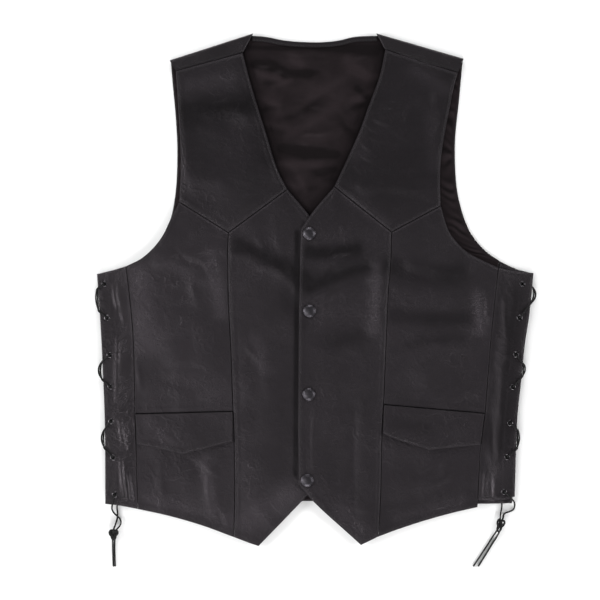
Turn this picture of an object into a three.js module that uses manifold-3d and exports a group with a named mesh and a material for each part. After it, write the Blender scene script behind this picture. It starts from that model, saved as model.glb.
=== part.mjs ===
// A leather vest with laced sides, lying flat on its back with the front up.
// Millimetres. +Z is up, +Y runs towards the neck, +X to the right as the front is seen.
// "left" and "right" are the sides as seen from above. The floor is z = 0.

import * as THREE from 'three';
import { mergeVertices } from 'three/addons/utils/BufferGeometryUtils.js';
import Module from 'manifold-3d';

const wasm = await Module();
wasm.setup();

// Cloth sizes
const BACK_LEATHER = 1.2;
const LINING = 1.0;
const FRONT_LEATHER = 1.8;
const STRIP_LEATHER = 1.4;
const GAP = 0.3;
const EDGE_ROLL = 0.35;

// Levels of the layers above the floor
const LINING_UNDER = BACK_LEATHER + GAP;
const FRONT_UNDER = 4.0;
const LAP_STEP = FRONT_LEATHER + 0.5;
const LAP_EDGE_X = 5.7;
const LAP_BLEND = { start: 9, end: 30 };
const LAP_CLEAR = { start: 14, folds: 32, crown: 40 };
const CROWN = 0.9;
const NECK_LIFT = 2.4;
const FOLD_RADIUS = (FRONT_UNDER + FRONT_LEATHER) / 2;
const NECK_WINDOW = { top: 291, fade: 16 };

// The lace and the room that the lifted lacing strips leave for it
const LACE_RADIUS = 1.0;
const LACE_SIDES = 8;
const LACE_EASE = { floor: 0.1, flange: 0.05 };
const UNDER_LACE_Z = LACE_RADIUS + LACE_EASE.floor;
const FLANGE = 0.4;
const STRIP_LIFT = 2 * LACE_RADIUS + LACE_EASE.floor + GAP + FLANGE + GAP;
const STRIP_TOP = STRIP_LIFT + BACK_LEATHER;
const INNER_LACE_Z = STRIP_TOP + GAP + LACE_RADIUS;
const FRONT_STRIP_UNDER = INNER_LACE_Z + LACE_RADIUS + GAP;
const FRONT_STRIP_TOP = FRONT_STRIP_UNDER + STRIP_LEATHER;
const OUTER_LACE_Z = FRONT_STRIP_TOP + GAP + FLANGE + GAP + LACE_RADIUS + LACE_EASE.flange;
const STRIP_RAMP = { start: 0.08, end: 0.55 };

// The lacing's routes. A pass is upright through an eyelet's middle, and turns close to either face.
const TURN = 1.6;
const TOWARDS_EDGE = 0.6;
const PASS_Z = {
  front: FRONT_STRIP_UNDER + (STRIP_LEATHER + GAP + FLANGE) / 2,
  back: STRIP_TOP - (BACK_LEATHER + GAP + FLANGE) / 2,
};
const CROSSING = { apart: 2.2, lip: 0.95, frontRise: 0.1, backRise: 0.3, steps: 6 };
const LIP_Z = {
  front: FRONT_STRIP_TOP + LACE_RADIUS + CROSSING.frontRise,
  between: INNER_LACE_Z,
  back: UNDER_LACE_Z + CROSSING.backRise,
};
const NEXT_LAYER = { front: 'back', between: 'back', back: 'front' };
const MIDDLE_TURN = 0.18;
const MIDDLE_RISE = 0.7;

// Eyelets and snaps
const EYELET = { hole: 1.9, barrel: 2.3, flange: 3.5, bevel: 0.5, segments: 8 };
const EYELET_CUT = EYELET.barrel + GAP;
const BACK_EYELET_SHIFT = 3.4;
const SNAP = {
  foot: 7.2, radius: 7.5, rimLow: 0.5, rimTop: 7.1, rimHigh: 1.2, dome: 5.25, domeHigh: 2.0,
  height: 2.3, segments: 14,
};

// How many steps each shared edge is cut into
const STEPS = {
  yokeOuter: 4, yokeInner: 6, armhole: 10, neckLow: 4,
  hemTip: 3, hemRise: 7, princessHigh: 9, princessLow: 5,
  underarm: 5, stripAcross: 6, flapDown: 3,
  shoulder: 5, shoulderFold: 4, backNeck: 6, backArmhole: 9, backSeam: 6,
};
const FLAP_CLEAR = 0.8;
const KNOT_FACETS = { around: 12, along: 8 };
const STRIP_EDGE_SAMPLES = 60;
const MITRE_LIMIT = 0.4;
const MERGE_WITHIN = 1e-4;

const COLOURS = {
  leather: { color: 0x2d2a2c, roughness: 0.5, metalness: 0 },
  strip: { color: 0x2b282a, roughness: 0.48, metalness: 0 },
  satin: { color: 0x1d1517, roughness: 0.35, metalness: 0 },
  eyelet: { color: 0x0c0c0d, roughness: 0.35, metalness: 0.6 },
  snap: { color: 0x4a484b, roughness: 0.3, metalness: 0.9 },
  lace: { color: 0x0d0c0d, roughness: 0.75, metalness: 0 },
};

// Corner points and seam curves of the fronts, [x, y] from the outer end to the inner end,
// or from the neck end to the hem end. Each crossing of the lace leaves the strip's edge at a
// distance above its middle, comes back at one below it, and reaches out from the edge between.
// A lace that starts between the strips leaves its first front eyelet empty.
const SIDES = {
  left: {
    out: -1,
    foldLine: [[-175.1, 275.7], [-74.7, 308.1]],
    shoulderSeam: [[-167.5, 262.9], [-87.0, 284.6]],
    neckHigh: [[-87.0, 284.6], [-79.5, 254.8], [-69.9, 222.3], [-60.3, 191.7], [-45.1, 143.7],
      [-33.5, 120.6]],
    neckLow: [[-33.5, 120.6], [-21, 106.2], [LAP_EDGE_X, 74.2]],
    armhole: [[-167.5, 262.9], [-165.3, 227.7], [-162.3, 179.7], [-161.7, 143.7], [-163.5, 105.5]],
    underarm: [[-227.1, 28.5], [-209.1, 37.6], [-193.5, 51.7], [-182.7, 66.4], [-175.2, 82],
      [-163.5, 105.5]],
    yokeOuter: [[-163.5, 105.5], [-104.3, 68.7]],
    yokeInner: [[-104.3, 68.7], [-33.5, 120.6]],
    princessHigh: [[-104.3, 68.7], [-105.0, 47.7], [-104.3, -9.9], [-101.5, -67.1], [-98.7, -146.1]],
    princessLow: [[-98.7, -146.1], [-97.4, -181.9], [-96.7, -252.3], [-97.7, -297.2]],
    pocketSeam: [[-216.3, -149.0], [-98.7, -146.1]],
    stripHigh: [[-227.1, 28.5], [-219.2, -47.9], [-216.3, -149.0]],
    stripLow: [[-216.3, -149.0], [-215.2, -185.7], [-213.2, -263.6]],
    frontEdge: [[LAP_EDGE_X, 74.2], [LAP_EDGE_X, -231.8]],
    hemTip: [[-97.7, -297.2], [-78.3, -304.7], [-68.1, -308.2]],
    hemRise: [[-68.1, -308.2], [LAP_EDGE_X, -231.8]],
    hemSide: [[-213.2, -263.6], [-179.1, -270.9], [-140.2, -281.9], [-97.7, -297.2]],
    stripTop: [[-262.1, 18.9], [-242.7, 23.7], [-227.1, 28.5]],
    stripSide: [[-262.1, 18.9], [-258.4, -34.6], [-254.7, -105.4], [-252.7, -162.8], [-252.1, -257.1]],
    stripHem: [[-252.1, -257.1], [-235.1, -259.1], [-213.2, -263.6]],
    flapOuter: [[-215.0, -186.1], [-200.0, -188.7], [-159.9, -197.8]],
    flapInner: [[-159.9, -197.8], [-98.4, -182.8]],
    backArmhole: [[-175.1, 275.7], [-171.4, 246.9], [-168.0, 210.0], [-165.9, 167.7], [-168.0, 117.3],
      [-175.5, 81.3], [-192.5, 52.0], [-208.5, 37.2], [-226.5, 28.0]],
    backSeam: [[-226.5, 28.0], [-219.2, -47.9], [-215.6, -150.0], [-213.2, -257.6]],
    backSide: [[-261.3, 18.1], [-257.7, -34.6], [-254.0, -105.4], [-252.0, -162.8], [-251.3, -256.6]],
    backTop: [[-261.3, 18.1], [-242.7, 23.0], [-226.5, 28.0]],
    backHem: [[-251.3, -256.6], [-213.2, -257.6]],
    eyelets: [[-253.3, 7.1], [-249.8, -33.7], [-246.9, -78.2], [-245.9, -116.1], [-245.0, -157.9],
      [-242.6, -201.4], [-240.5, -245.7]],
    crossings: [
      { above: 14, below: 12, reach: 3.5 }, { above: 10, below: 11, reach: 5.3 },
      { above: 11, below: 10, reach: 4.3 },
    ],
    firstLayer: 'front',
  },
  right: {
    out: 1,
    foldLine: [[178.5, 277.7], [73.5, 308.1]],
    shoulderSeam: [[171.2, 260.6], [84.1, 288.3]],
    neckHigh: [[84.1, 288.3], [77.3, 256.7], [64.0, 220.5], [54.4, 193.6], [42.9, 166.9], [22.9, 124.0]],
    neckLow: [[22.9, 124.0], [-2.0, 95.0], [-17.3, 72.9]],
    armhole: [[171.2, 260.6], [166.5, 243.3], [159.7, 208.9], [152.9, 170.6], [150.1, 140.0],
      [150.9, 100.9]],
    underarm: [[219.9, 26.6], [193.7, 39.0], [182.6, 45.3], [169.7, 57.7], [159.7, 72.1],
      [150.9, 100.9]],
    yokeOuter: [[150.9, 100.9], [91.7, 69.3]],
    yokeInner: [[91.7, 69.3], [22.9, 124.0]],
    princessHigh: [[91.7, 69.3], [90.8, 35.7], [87.9, -0.3], [84.9, -67.1], [82.1, -137.9]],
    princessLow: [[82.1, -137.9], [80.2, -174.3], [78.3, -252.3], [75.7, -296.7]],
    pocketSeam: [[204.0, -148.4], [82.1, -137.9]],
    stripHigh: [[219.9, 26.6], [215.1, -19.3], [210.3, -67.1], [204.0, -148.4]],
    stripLow: [[204.0, -148.4], [198.9, -185.7], [194.9, -261.2]],
    frontEdge: [[-17.3, 72.9], [-18.7, 18.9], [-20.2, -86.2], [-20.6, -181.5], [-20.0, -233.6]],
    hemTip: [[75.7, -296.7], [54.9, -306.9]],
    hemRise: [[54.9, -306.9], [-2.7, -254.0], [-20.0, -233.6]],
    hemSide: [[194.9, -261.2], [166.5, -267.7], [134.1, -276.7], [101.7, -287.1], [75.7, -296.7]],
    stripTop: [[262.1, 20.1], [241.0, 22.4], [219.9, 26.6]],
    stripSide: [[262.1, 20.1], [257.2, -28.9], [251.5, -67.1], [246.7, -114.9], [242.8, -153.2],
      [240.9, -201.1], [239.6, -248.3]],
    stripHem: [[239.6, -248.3], [228.0, -252.0], [195.6, -253.2]],
    flapOuter: [[198.9, -186.1], [150.1, -191.5], [137.6, -192.8]],
    flapInner: [[137.6, -192.8], [96.5, -179.9], [81.0, -173.3]],
    backArmhole: [[178.5, 277.7], [173.0, 228.1], [168.3, 180.2], [169.3, 132.4], [173.9, 103.6],
      [186.4, 69.3], [205.0, 46.5], [222.0, 34.5]],
    backSeam: [[222.0, 34.5], [215.1, -19.3], [204.5, -134.1], [195.3, -257.6]],
    backSide: [[261.5, 19.6], [256.6, -28.9], [250.9, -67.1], [246.1, -114.9], [242.2, -153.2],
      [240.2, -201.1], [236.4, -256.6]],
    backTop: [[261.5, 19.6], [240.0, 25.6], [222.0, 34.5]],
    backHem: [[236.4, -256.6], [195.3, -257.6]],
    eyelets: [[248.6, 7.1], [245.3, -33.7], [240.9, -77.7], [237.2, -116.7], [233.7, -159.9],
      [230.2, -200.8], [226.6, -242.5]],
    crossings: [
      { above: 16, below: 2, reach: 5.2 }, { above: 8, below: 6.5, reach: 3.6 },
      { above: 12, below: 10, reach: 3.5 },
    ],
    firstLayer: 'between',
  },
};

const BACK_NECK = [[-76.1, 305.4], [-60.3, 304.3], [-36.3, 299.9], [-12.3, 297.9], [11.7, 297.9],
  [29.7, 300.1], [46.5, 304.1], [74.8, 305.4]];
const BACK_HEM = [[-213.2, -257.6], [0, -254.2], [195.3, -257.6]];
const FACING_WIDTH = 7;
const FACING_INSET = 1.2;
const FACING_STEPS = 12;
const LINING_INSET = 1.6;
const LINING_STEPS = { shoulder: 4, backNeck: 10, backArmhole: 14, backSeam: 5 };

const SNAP_CENTRES = [[-7.3, 67.5], [-6.9, -25.5], [-7.7, -125.5], [-9.7, -228.8]];

// Folds are soft ridges, or troughs where the height is negative, along a straight run.
const FRONT_FOLDS = [
  { name: 'left pull fold', x1: -98, y1: 46, x2: -28, y2: 18, width: 9, height: 2.0 },
  { name: 'left pull trough', x1: -96, y1: 28, x2: -34, y2: 2, width: 10, height: -0.8 },
  { name: 'right chest fold', x1: 26, y1: 34, x2: 66, y2: 42, width: 10, height: 1.7 },
  { name: 'right waist trough', x1: 22, y1: 12, x2: 64, y2: 27, width: 8, height: -0.8 },
  { name: 'right seam pucker', x1: 71, y1: 10, x2: 69, y2: -44, width: 8, height: 1.3 },
  { name: 'right front ridge', x1: 59, y1: -134, x2: 60, y2: -284, width: 9, height: 1.4 },
  { name: 'left underarm fold', x1: -188, y1: 36, x2: -136, y2: 34, width: 11, height: 2.0 },
  { name: 'right underarm fold', x1: 118, y1: 30, x2: 176, y2: 22, width: 11, height: 1.7 },
  { name: 'left waist ridge', x1: -176, y1: -60, x2: -160, y2: -132, width: 14, height: 1.1 },
  { name: 'right waist ridge', x1: 150, y1: -58, x2: 138, y2: -120, width: 14, height: 1.1 },
  { name: 'left pocket ridge', x1: -128, y1: -218, x2: -128, y2: -262, width: 8, height: 1.3 },
  { name: 'right pocket ridge', x1: 158, y1: -214, x2: 150, y2: -256, width: 9, height: 1.1 },
  { name: 'left yoke fold', x1: -138, y1: 226, x2: -84, y2: 210, width: 13, height: 1.4 },
  { name: 'left yoke low fold', x1: -142, y1: 132, x2: -72, y2: 150, width: 14, height: 1.2 },
  { name: 'right yoke fold', x1: 84, y1: 214, x2: 132, y2: 234, width: 13, height: 1.4 },
  { name: 'right yoke low fold', x1: 58, y1: 124, x2: 128, y2: 122, width: 11, height: 1.4 },
  { name: 'left front ridge', x1: -62, y1: -100, x2: -58, y2: -230, width: 14, height: 1.0 },
];

const LINING_FOLDS = [
  { name: 'high left billow', x1: -62, y1: 262, x2: -24, y2: 250, width: 9, height: 2.0 },
  { name: 'high middle billow', x1: -44, y1: 281, x2: 14, y2: 276, width: 8, height: 1.7 },
  { name: 'high right billow', x1: 22, y1: 262, x2: 58, y2: 272, width: 9, height: 1.7 },
  { name: 'middle billow', x1: -40, y1: 222, x2: 18, y2: 206, width: 11, height: 1.5 },
  { name: 'right billow', x1: 26, y1: 232, x2: 42, y2: 206, width: 9, height: 1.6 },
  { name: 'low fold', x1: -30, y1: 178, x2: 20, y2: 180, width: 8, height: 1.8 },
  { name: 'low ridge', x1: -22, y1: 152, x2: 12, y2: 149, width: 7, height: 1.5 },
];

// The free ends of the laces. Each run starts under or over the hem and ends at the knot,
// and each end leaves the knot for its tip. Rows are x, y, z of the centreline.
const LACE_RUNS = {
  left: {
    knot: { x: -242.3, y: -293.6, z: 4.3, across: 5.8, along: 7.4, high: 4.1 },
    over: [[-242.2, -252.4, 10.2], [-243.6, -258.4, 9.3], [-244.1, -262.6, 6.6], [-243.2, -266.2, 3.5],
      [-240.6, -269.6, 3.2], [-237.4, -272.4, 3.4], [-234.6, -275.8, 2.2], [-233.6, -280.0, 1.6],
      [-235.3, -284.2, 2.2], [-238.5, -287.8, 3.2]],
    under: [[-238.4, -262.0, 1.1], [-237.9, -267.0, 1.1], [-237.7, -272.0, 1.1],
      [-238.6, -277.0, 1.1], [-240.2, -282.0, 1.9], [-241.7, -286.3, 3.2]],
    ends: [
      [[-241.3, -299.0, 3.4], [-240.9, -305.0, 1.5], [-241.3, -312.0, 1.1], [-240.7, -322.0, 1.1],
        [-240.2, -332.7, 1.1]],
      [[-243.5, -299.0, 3.2], [-243.9, -305.0, 1.4], [-243.8, -312.0, 1.1], [-243.4, -322.0, 1.1],
        [-243.1, -332.9, 1.1]],
    ],
  },
  right: {
    knot: { x: 222.4, y: -282.3, z: 4.3, across: 5.4, along: 9.6, high: 4.1 },
    over: [[231.6, -246.6, 10.0], [235.2, -250.6, 9.2], [238.4, -254.0, 6.6], [239.7, -257.6, 3.4],
      [239.7, -261.2, 1.5], [237.6, -264.8, 1.1], [233.6, -266.8, 1.1], [229.0, -268.4, 1.3],
      [226.5, -270.6, 2.1], [225.9, -273.6, 2.9]],
    under: [[224.4, -259.4, 1.1], [224.0, -263.4, 1.1], [223.2, -267.8, 1.5], [222.5, -272.9, 3.0]],
    ends: [
      [[219.4, -287.8, 3.8], [213.9, -296.2, 1.5], [208.6, -304.6, 1.1], [199.6, -318.4, 1.1],
        [190.1, -332.7, 1.1]],
      [[222.0, -289.0, 3.8], [217.9, -297.6, 1.4], [213.4, -304.8, 1.1], [204.8, -318.8, 1.1],
        [196.0, -332.7, 1.1]],
    ],
  },
};

const vest = new THREE.Group();

function addPiece(name, geometry, look) {
  const mesh = new THREE.Mesh(geometry, new THREE.MeshStandardMaterial(look));
  mesh.name = name;
  vest.add(mesh);
}

function smooth(low, high, value) {
  return THREE.MathUtils.smoothstep(value, low, high);
}

// Points at even steps along a table of [x, y] rows: straight for two rows, a spline for more.
function sampled(rows, steps) {
  const points = rows.map(([x, y]) => new THREE.Vector3(x, y, 0));
  const curve = points.length === 2
    ? new THREE.LineCurve3(points[0], points[1])
    : new THREE.CatmullRomCurve3(points, false, 'centripetal');
  return curve.getSpacedPoints(steps);
}

function joined(...runs) {
  return runs.reduce((all, run) => all.concat(run.slice(1)), [runs[0][0]]);
}

function reversed(run) {
  return [...run].reverse();
}

// Moves every corner of a closed outline inwards by the same distance, mitred at the corners.
function insetLoop(loop, by) {
  const area = loop.reduce((sum, p, i) => {
    const q = loop[(i + 1) % loop.length];
    return sum + p.x * q.y - q.x * p.y;
  }, 0);
  const turn = Math.sign(area);
  return loop.map((p, i) => {
    const before = p.clone().sub(loop[(i + loop.length - 1) % loop.length]).normalize();
    const after = loop[(i + 1) % loop.length].clone().sub(p).normalize();
    const n1 = new THREE.Vector3(-before.y, before.x, 0);
    const n2 = new THREE.Vector3(-after.y, after.x, 0);
    const mitre = n1.clone().add(n2).divideScalar(Math.max(MITRE_LIMIT, 1 + n1.dot(n2)));
    return p.clone().addScaledVector(mitre, turn * by);
  });
}

// A four-sided patch worked out from its sampled edges. Rows run from top to bottom and columns
// from outer to inner, and each node carries its own place u, v in the patch.
function patchOf({ top, bottom, outer, inner }, inset) {
  const across = top.length - 1;
  const down = outer.length - 1;
  const loop = insetLoop(
    [...top.slice(0, -1), ...inner.slice(0, -1), ...reversed(bottom).slice(0, -1),
      ...reversed(outer).slice(0, -1)],
    inset,
  );
  const topEdge = loop.slice(0, across + 1);
  const innerEdge = loop.slice(across, across + down + 1);
  const bottomEdge = reversed(loop.slice(across + down, 2 * across + down + 1));
  const outerEdge = reversed([...loop.slice(2 * across + down), loop[0]]);
  const rows = [];
  for (let j = 0; j <= down; j += 1) {
    const v = j / down;
    const row = [];
    for (let i = 0; i <= across; i += 1) {
      const u = i / across;
      const node = new THREE.Vector3()
        .addScaledVector(topEdge[i], 1 - v)
        .addScaledVector(bottomEdge[i], v)
        .addScaledVector(outerEdge[j], 1 - u)
        .addScaledVector(innerEdge[j], u)
        .addScaledVector(topEdge[0], -(1 - u) * (1 - v))
        .addScaledVector(topEdge[across], -u * (1 - v))
        .addScaledVector(bottomEdge[0], -(1 - u) * v)
        .addScaledVector(bottomEdge[across], -u * v);
      row.push({ x: node.x, y: node.y, u, v });
    }
    rows.push(row);
  }
  return rows;
}

function quadsOf(rows, columns, start = 0) {
  const quads = [];
  for (let j = 0; j < rows - 1; j += 1) {
    for (let i = 0; i < columns - 1; i += 1) {
      const a = start + j * columns + i;
      quads.push([a, a + 1, a + columns + 1, a + columns]);
    }
  }
  return quads;
}

// Closes a sheet of quads into a solid wall: one face, the other face, and a rim on every edge
// that only one quad has. The face points run counter-clockwise seen from outside.
function closedWall(face, back, quads) {
  const corners = [...face, ...back];
  const offset = face.length;
  const index = [];
  const edges = new Map();
  for (const [a, b, c, d] of quads) {
    index.push(a, b, c, a, c, d);
    index.push(offset + a, offset + c, offset + b, offset + a, offset + d, offset + c);
    for (const [p, q] of [[a, b], [b, c], [c, d], [d, a]]) {
      if (edges.has(`${q},${p}`)) {
        edges.delete(`${q},${p}`);
      } else {
        edges.set(`${p},${q}`, [p, q]);
      }
    }
  }
  for (const [p, q] of edges.values()) {
    index.push(q, p, offset + p, q, offset + p, offset + q);
  }
  const geometry = new THREE.BufferGeometry();
  geometry.setAttribute(
    'position',
    new THREE.Float32BufferAttribute(corners.flatMap((p) => [p.x, p.y, p.z]), 3),
  );
  geometry.setIndex(index);
  return geometry;
}

// A cloth wall over a patch: under(node) is the height of its lower face.
function wallOf(rows, under, thickness) {
  const lastRow = rows.length - 1;
  const lastColumn = rows[0].length - 1;
  const over = [];
  const below = [];
  rows.forEach((row, j) => row.forEach((node, i) => {
    const atEdge = j === 0 || i === 0 || j === lastRow || i === lastColumn;
    const z = under(node);
    below.push(new THREE.Vector3(node.x, node.y, z));
    over.push(new THREE.Vector3(node.x, node.y, z + thickness - (atEdge ? EDGE_ROLL : 0)));
  }));
  let quads = quadsOf(rows.length, rows[0].length);
  const [a, b, , d] = quads[0].map((k) => over[k]);
  if ((b.x - a.x) * (d.y - a.y) - (b.y - a.y) * (d.x - a.x) < 0) {
    quads = quads.map((quad) => reversed(quad));
  }
  return closedWall(over, below, quads);
}

// Height that a table of folds adds at a point: each fold falls off smoothly to both sides.
function foldHeight(table, x, y) {
  return table.reduce((sum, fold) => {
    const dx = fold.x2 - fold.x1;
    const dy = fold.y2 - fold.y1;
    const along = ((x - fold.x1) * dx + (y - fold.y1) * dy) / (dx * dx + dy * dy);
    const t = THREE.MathUtils.clamp(along, 0, 1);
    const away = Math.hypot(x - fold.x1 - t * dx, y - fold.y1 - t * dy) / fold.width;
    return sum + fold.height * Math.exp(-away * away);
  }, 0);
}

// Folds die away in the lap, where two fronts and the snaps lie on each other.
function frontFold(x, y) {
  const clearOfLap = smooth(LAP_CLEAR.start, LAP_CLEAR.folds, Math.abs(x - SNAP_CENTRES[0][0]));
  return foldHeight(FRONT_FOLDS, x, y) * clearOfLap;
}

function crown({ x, u, v }) {
  const clearOfLap = smooth(LAP_CLEAR.start, LAP_CLEAR.crown, Math.abs(x - SNAP_CENTRES[0][0]));
  const across = 1 - (2 * u - 1) ** 4;
  const down = 1 - (2 * v - 1) ** 4;
  return CROWN * across * down * clearOfLap;
}

function frontUnder(node) {
  return FRONT_UNDER + frontFold(node.x, node.y) + crown(node);
}

function lapLift(x) {
  return LAP_STEP * (1 - smooth(LAP_BLEND.start, LAP_BLEND.end, x));
}

function stripRamp(u) {
  return smooth(STRIP_RAMP.start, STRIP_RAMP.end, 1 - u);
}

function frontStripUnder(node) {
  const ramp = stripRamp(node.u);
  return THREE.MathUtils.lerp(FRONT_UNDER + frontFold(node.x, node.y), FRONT_STRIP_UNDER, ramp);
}

// Solids for cutting and joining
function toSolid(geometry) {
  const bare = geometry.clone();
  bare.deleteAttribute('normal');
  bare.deleteAttribute('uv');
  const merged = mergeVertices(bare, MERGE_WITHIN);
  return new wasm.Manifold(new wasm.Mesh({
    numProp: 3,
    vertProperties: new Float32Array(merged.attributes.position.array),
    triVerts: new Uint32Array(merged.index.array),
  }));
}

function toGeometry(solid) {
  const { vertProperties, triVerts } = solid.getMesh();
  const geometry = new THREE.BufferGeometry();
  geometry.setAttribute('position', new THREE.BufferAttribute(new Float32Array(vertProperties), 3));
  geometry.setIndex(new THREE.BufferAttribute(new Uint32Array(triVerts), 1));
  return geometry;
}

function pierced(geometry, centres) {
  let solid = toSolid(geometry);
  for (const [x, y] of centres) {
    const punch = new THREE.CylinderGeometry(EYELET_CUT, EYELET_CUT, 4 * FRONT_STRIP_TOP, EYELET.segments);
    punch.rotateX(Math.PI / 2).translate(x, y, 0);
    solid = solid.subtract(toSolid(punch));
  }
  return toGeometry(solid);
}

function turned(profile, segments) {
  const points = profile.map(([r, z]) => new THREE.Vector2(r, z));
  return new THREE.LatheGeometry(points, segments).rotateX(Math.PI / 2);
}

// An eyelet's flange lies on the outer face of its strip and its barrel ends flush inside.
function eyeletGeometry(wall) {
  const { hole, barrel, flange, bevel, segments } = EYELET;
  const seat = wall + GAP;
  return turned([
    [hole, 0], [barrel, 0], [barrel, seat], [flange, seat],
    [flange - bevel, seat + FLANGE], [hole, seat + FLANGE], [hole, 0],
  ], segments);
}

function snapGeometry() {
  const { foot, radius, rimLow, rimTop, rimHigh, dome, domeHigh, height, segments } = SNAP;
  return turned(
    [[0, 0], [foot, 0], [radius, rimLow], [rimTop, rimHigh], [dome, domeHigh], [0, height]],
    segments,
  );
}

// The edges of one side's front pieces, each sampled once so that neighbours share its points.
function frontEdges(side) {
  return {
    shoulderSeam: sampled(side.shoulderSeam, STEPS.yokeOuter + STEPS.yokeInner),
    neckHigh: sampled(side.neckHigh, STEPS.armhole),
    neckLow: sampled(side.neckLow, STEPS.neckLow),
    armhole: sampled(side.armhole, STEPS.armhole),
    underarm: sampled(side.underarm, STEPS.underarm),
    yokeOuter: sampled(side.yokeOuter, STEPS.yokeOuter),
    yokeInner: sampled(side.yokeInner, STEPS.yokeInner),
    princessHigh: sampled(side.princessHigh, STEPS.princessHigh),
    princessLow: sampled(side.princessLow, STEPS.princessLow),
    pocketSeam: sampled(side.pocketSeam, STEPS.underarm + STEPS.yokeOuter),
    stripHigh: sampled(side.stripHigh, STEPS.princessHigh),
    stripLow: sampled(side.stripLow, STEPS.princessLow),
    frontEdge: sampled(side.frontEdge, STEPS.princessHigh + STEPS.princessLow),
    hemTip: sampled(side.hemTip, STEPS.hemTip),
    hemRise: sampled(side.hemRise, STEPS.hemRise),
    hemSide: sampled(side.hemSide, STEPS.underarm + STEPS.yokeOuter),
  };
}

function addYoke(name, edge) {
  const rows = patchOf({
    top: edge.shoulderSeam,
    bottom: joined(edge.yokeOuter, edge.yokeInner),
    outer: edge.armhole,
    inner: edge.neckHigh,
  }, GAP / 2);
  addPiece(`front_yoke_${name}`, wallOf(rows, yokeUnder, FRONT_LEATHER), COLOURS.leather);
}

// The neck edge of a yoke stands up a little from the lining between its two ends.
function yokeUnder(node) {
  return frontUnder(node) + NECK_LIFT * node.u ** 4 * (1 - (2 * node.v - 1) ** 4);
}

function centreUnder(name) {
  return (node) => frontUnder(node) + (name === 'right' ? lapLift(node.x) : 0);
}

function addCentre(name, edge) {
  const rows = patchOf({
    top: joined(edge.yokeInner, edge.neckLow),
    bottom: joined(edge.hemTip, edge.hemRise),
    outer: joined(edge.princessHigh, edge.princessLow),
    inner: edge.frontEdge,
  }, GAP / 2);
  addPiece(`front_centre_${name}`, wallOf(rows, centreUnder(name), FRONT_LEATHER), COLOURS.leather);
}

function addSideFront(name, edge) {
  const rows = patchOf({
    top: joined(edge.underarm, edge.yokeOuter),
    bottom: edge.pocketSeam,
    outer: edge.stripHigh,
    inner: edge.princessHigh,
  }, GAP / 2);
  addPiece(`front_side_${name}`, wallOf(rows, frontUnder, FRONT_LEATHER), COLOURS.leather);
}

function addLowerFront(name, edge) {
  const rows = patchOf({
    top: edge.pocketSeam,
    bottom: edge.hemSide,
    outer: edge.stripLow,
    inner: edge.princessLow,
  }, GAP / 2);
  addPiece(`front_lower_${name}`, wallOf(rows, lowerUnder, FRONT_LEATHER), COLOURS.leather);
}

// The lower front stays level under its flap, so that the flap lies on it.
function lowerUnder(node) {
  return FRONT_UNDER + frontFold(node.x, node.y);
}

function addFlap(name, side, edge) {
  const rows = patchOf({
    top: edge.pocketSeam,
    bottom: joined(sampled(side.flapOuter, STEPS.underarm), sampled(side.flapInner, STEPS.yokeOuter)),
    outer: sampled([side.pocketSeam[0], side.flapOuter[0]], STEPS.flapDown),
    inner: sampled([side.pocketSeam.at(-1), side.flapInner.at(-1)], STEPS.flapDown),
  }, FLAP_CLEAR);
  const under = (node) => lowerUnder(node) + FRONT_LEATHER + GAP;
  addPiece(`pocket_flap_${name}`, wallOf(rows, under, STRIP_LEATHER), COLOURS.leather);
}

function addFrontStrip(name, side, edge) {
  const rows = patchOf({
    top: sampled(side.stripTop, STEPS.stripAcross),
    bottom: sampled(side.stripHem, STEPS.stripAcross),
    outer: sampled(side.stripSide, STEPS.princessHigh + STEPS.princessLow),
    inner: stripInner(side, edge),
  }, GAP / 2);
  const wall = wallOf(rows, frontStripUnder, STRIP_LEATHER);
  addPiece(`front_strip_${name}`, pierced(wall, side.eyelets), COLOURS.strip);
}

// The strip's inner edge follows the seam, and stops where the strip's own hem does.
function stripInner(side, edge) {
  const run = joined(edge.stripHigh, edge.stripLow);
  const end = side.stripHem.at(-1);
  const last = run.at(-1);
  return Math.abs(last.y - end[1]) < GAP ? run : [...run.slice(0, -1), new THREE.Vector3(...end, 0)];
}

function addBackStrip(name, side) {
  const rows = patchOf({
    top: sampled(side.backTop, STEPS.stripAcross),
    bottom: sampled(side.backHem, STEPS.stripAcross),
    outer: sampled(side.backSide, STEPS.backSeam),
    inner: sampled(side.backSeam, STEPS.backSeam),
  }, GAP / 2);
  const wall = wallOf(rows, (node) => STRIP_LIFT * stripRamp(node.u), BACK_LEATHER);
  addPiece(`back_strip_${name}`, pierced(wall, backEyelets(side)), COLOURS.strip);
}

function backEyelets(side) {
  return side.eyelets.map(([x, y]) => [x - side.out * BACK_EYELET_SHIFT, y]);
}

function addEyelets(name, side) {
  const frontShape = eyeletGeometry(STRIP_LEATHER);
  const backShape = eyeletGeometry(BACK_LEATHER).rotateX(Math.PI);
  side.eyelets.forEach(([x, y], k) => {
    const placed = frontShape.clone().translate(x, y, FRONT_STRIP_UNDER);
    addPiece(`eyelet_front_${name}_${k + 1}`, placed, COLOURS.eyelet);
  });
  backEyelets(side).forEach(([x, y], k) => {
    const placed = backShape.clone().translate(x, y, STRIP_TOP);
    addPiece(`eyelet_back_${name}_${k + 1}`, placed, COLOURS.eyelet);
  });
}

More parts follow.
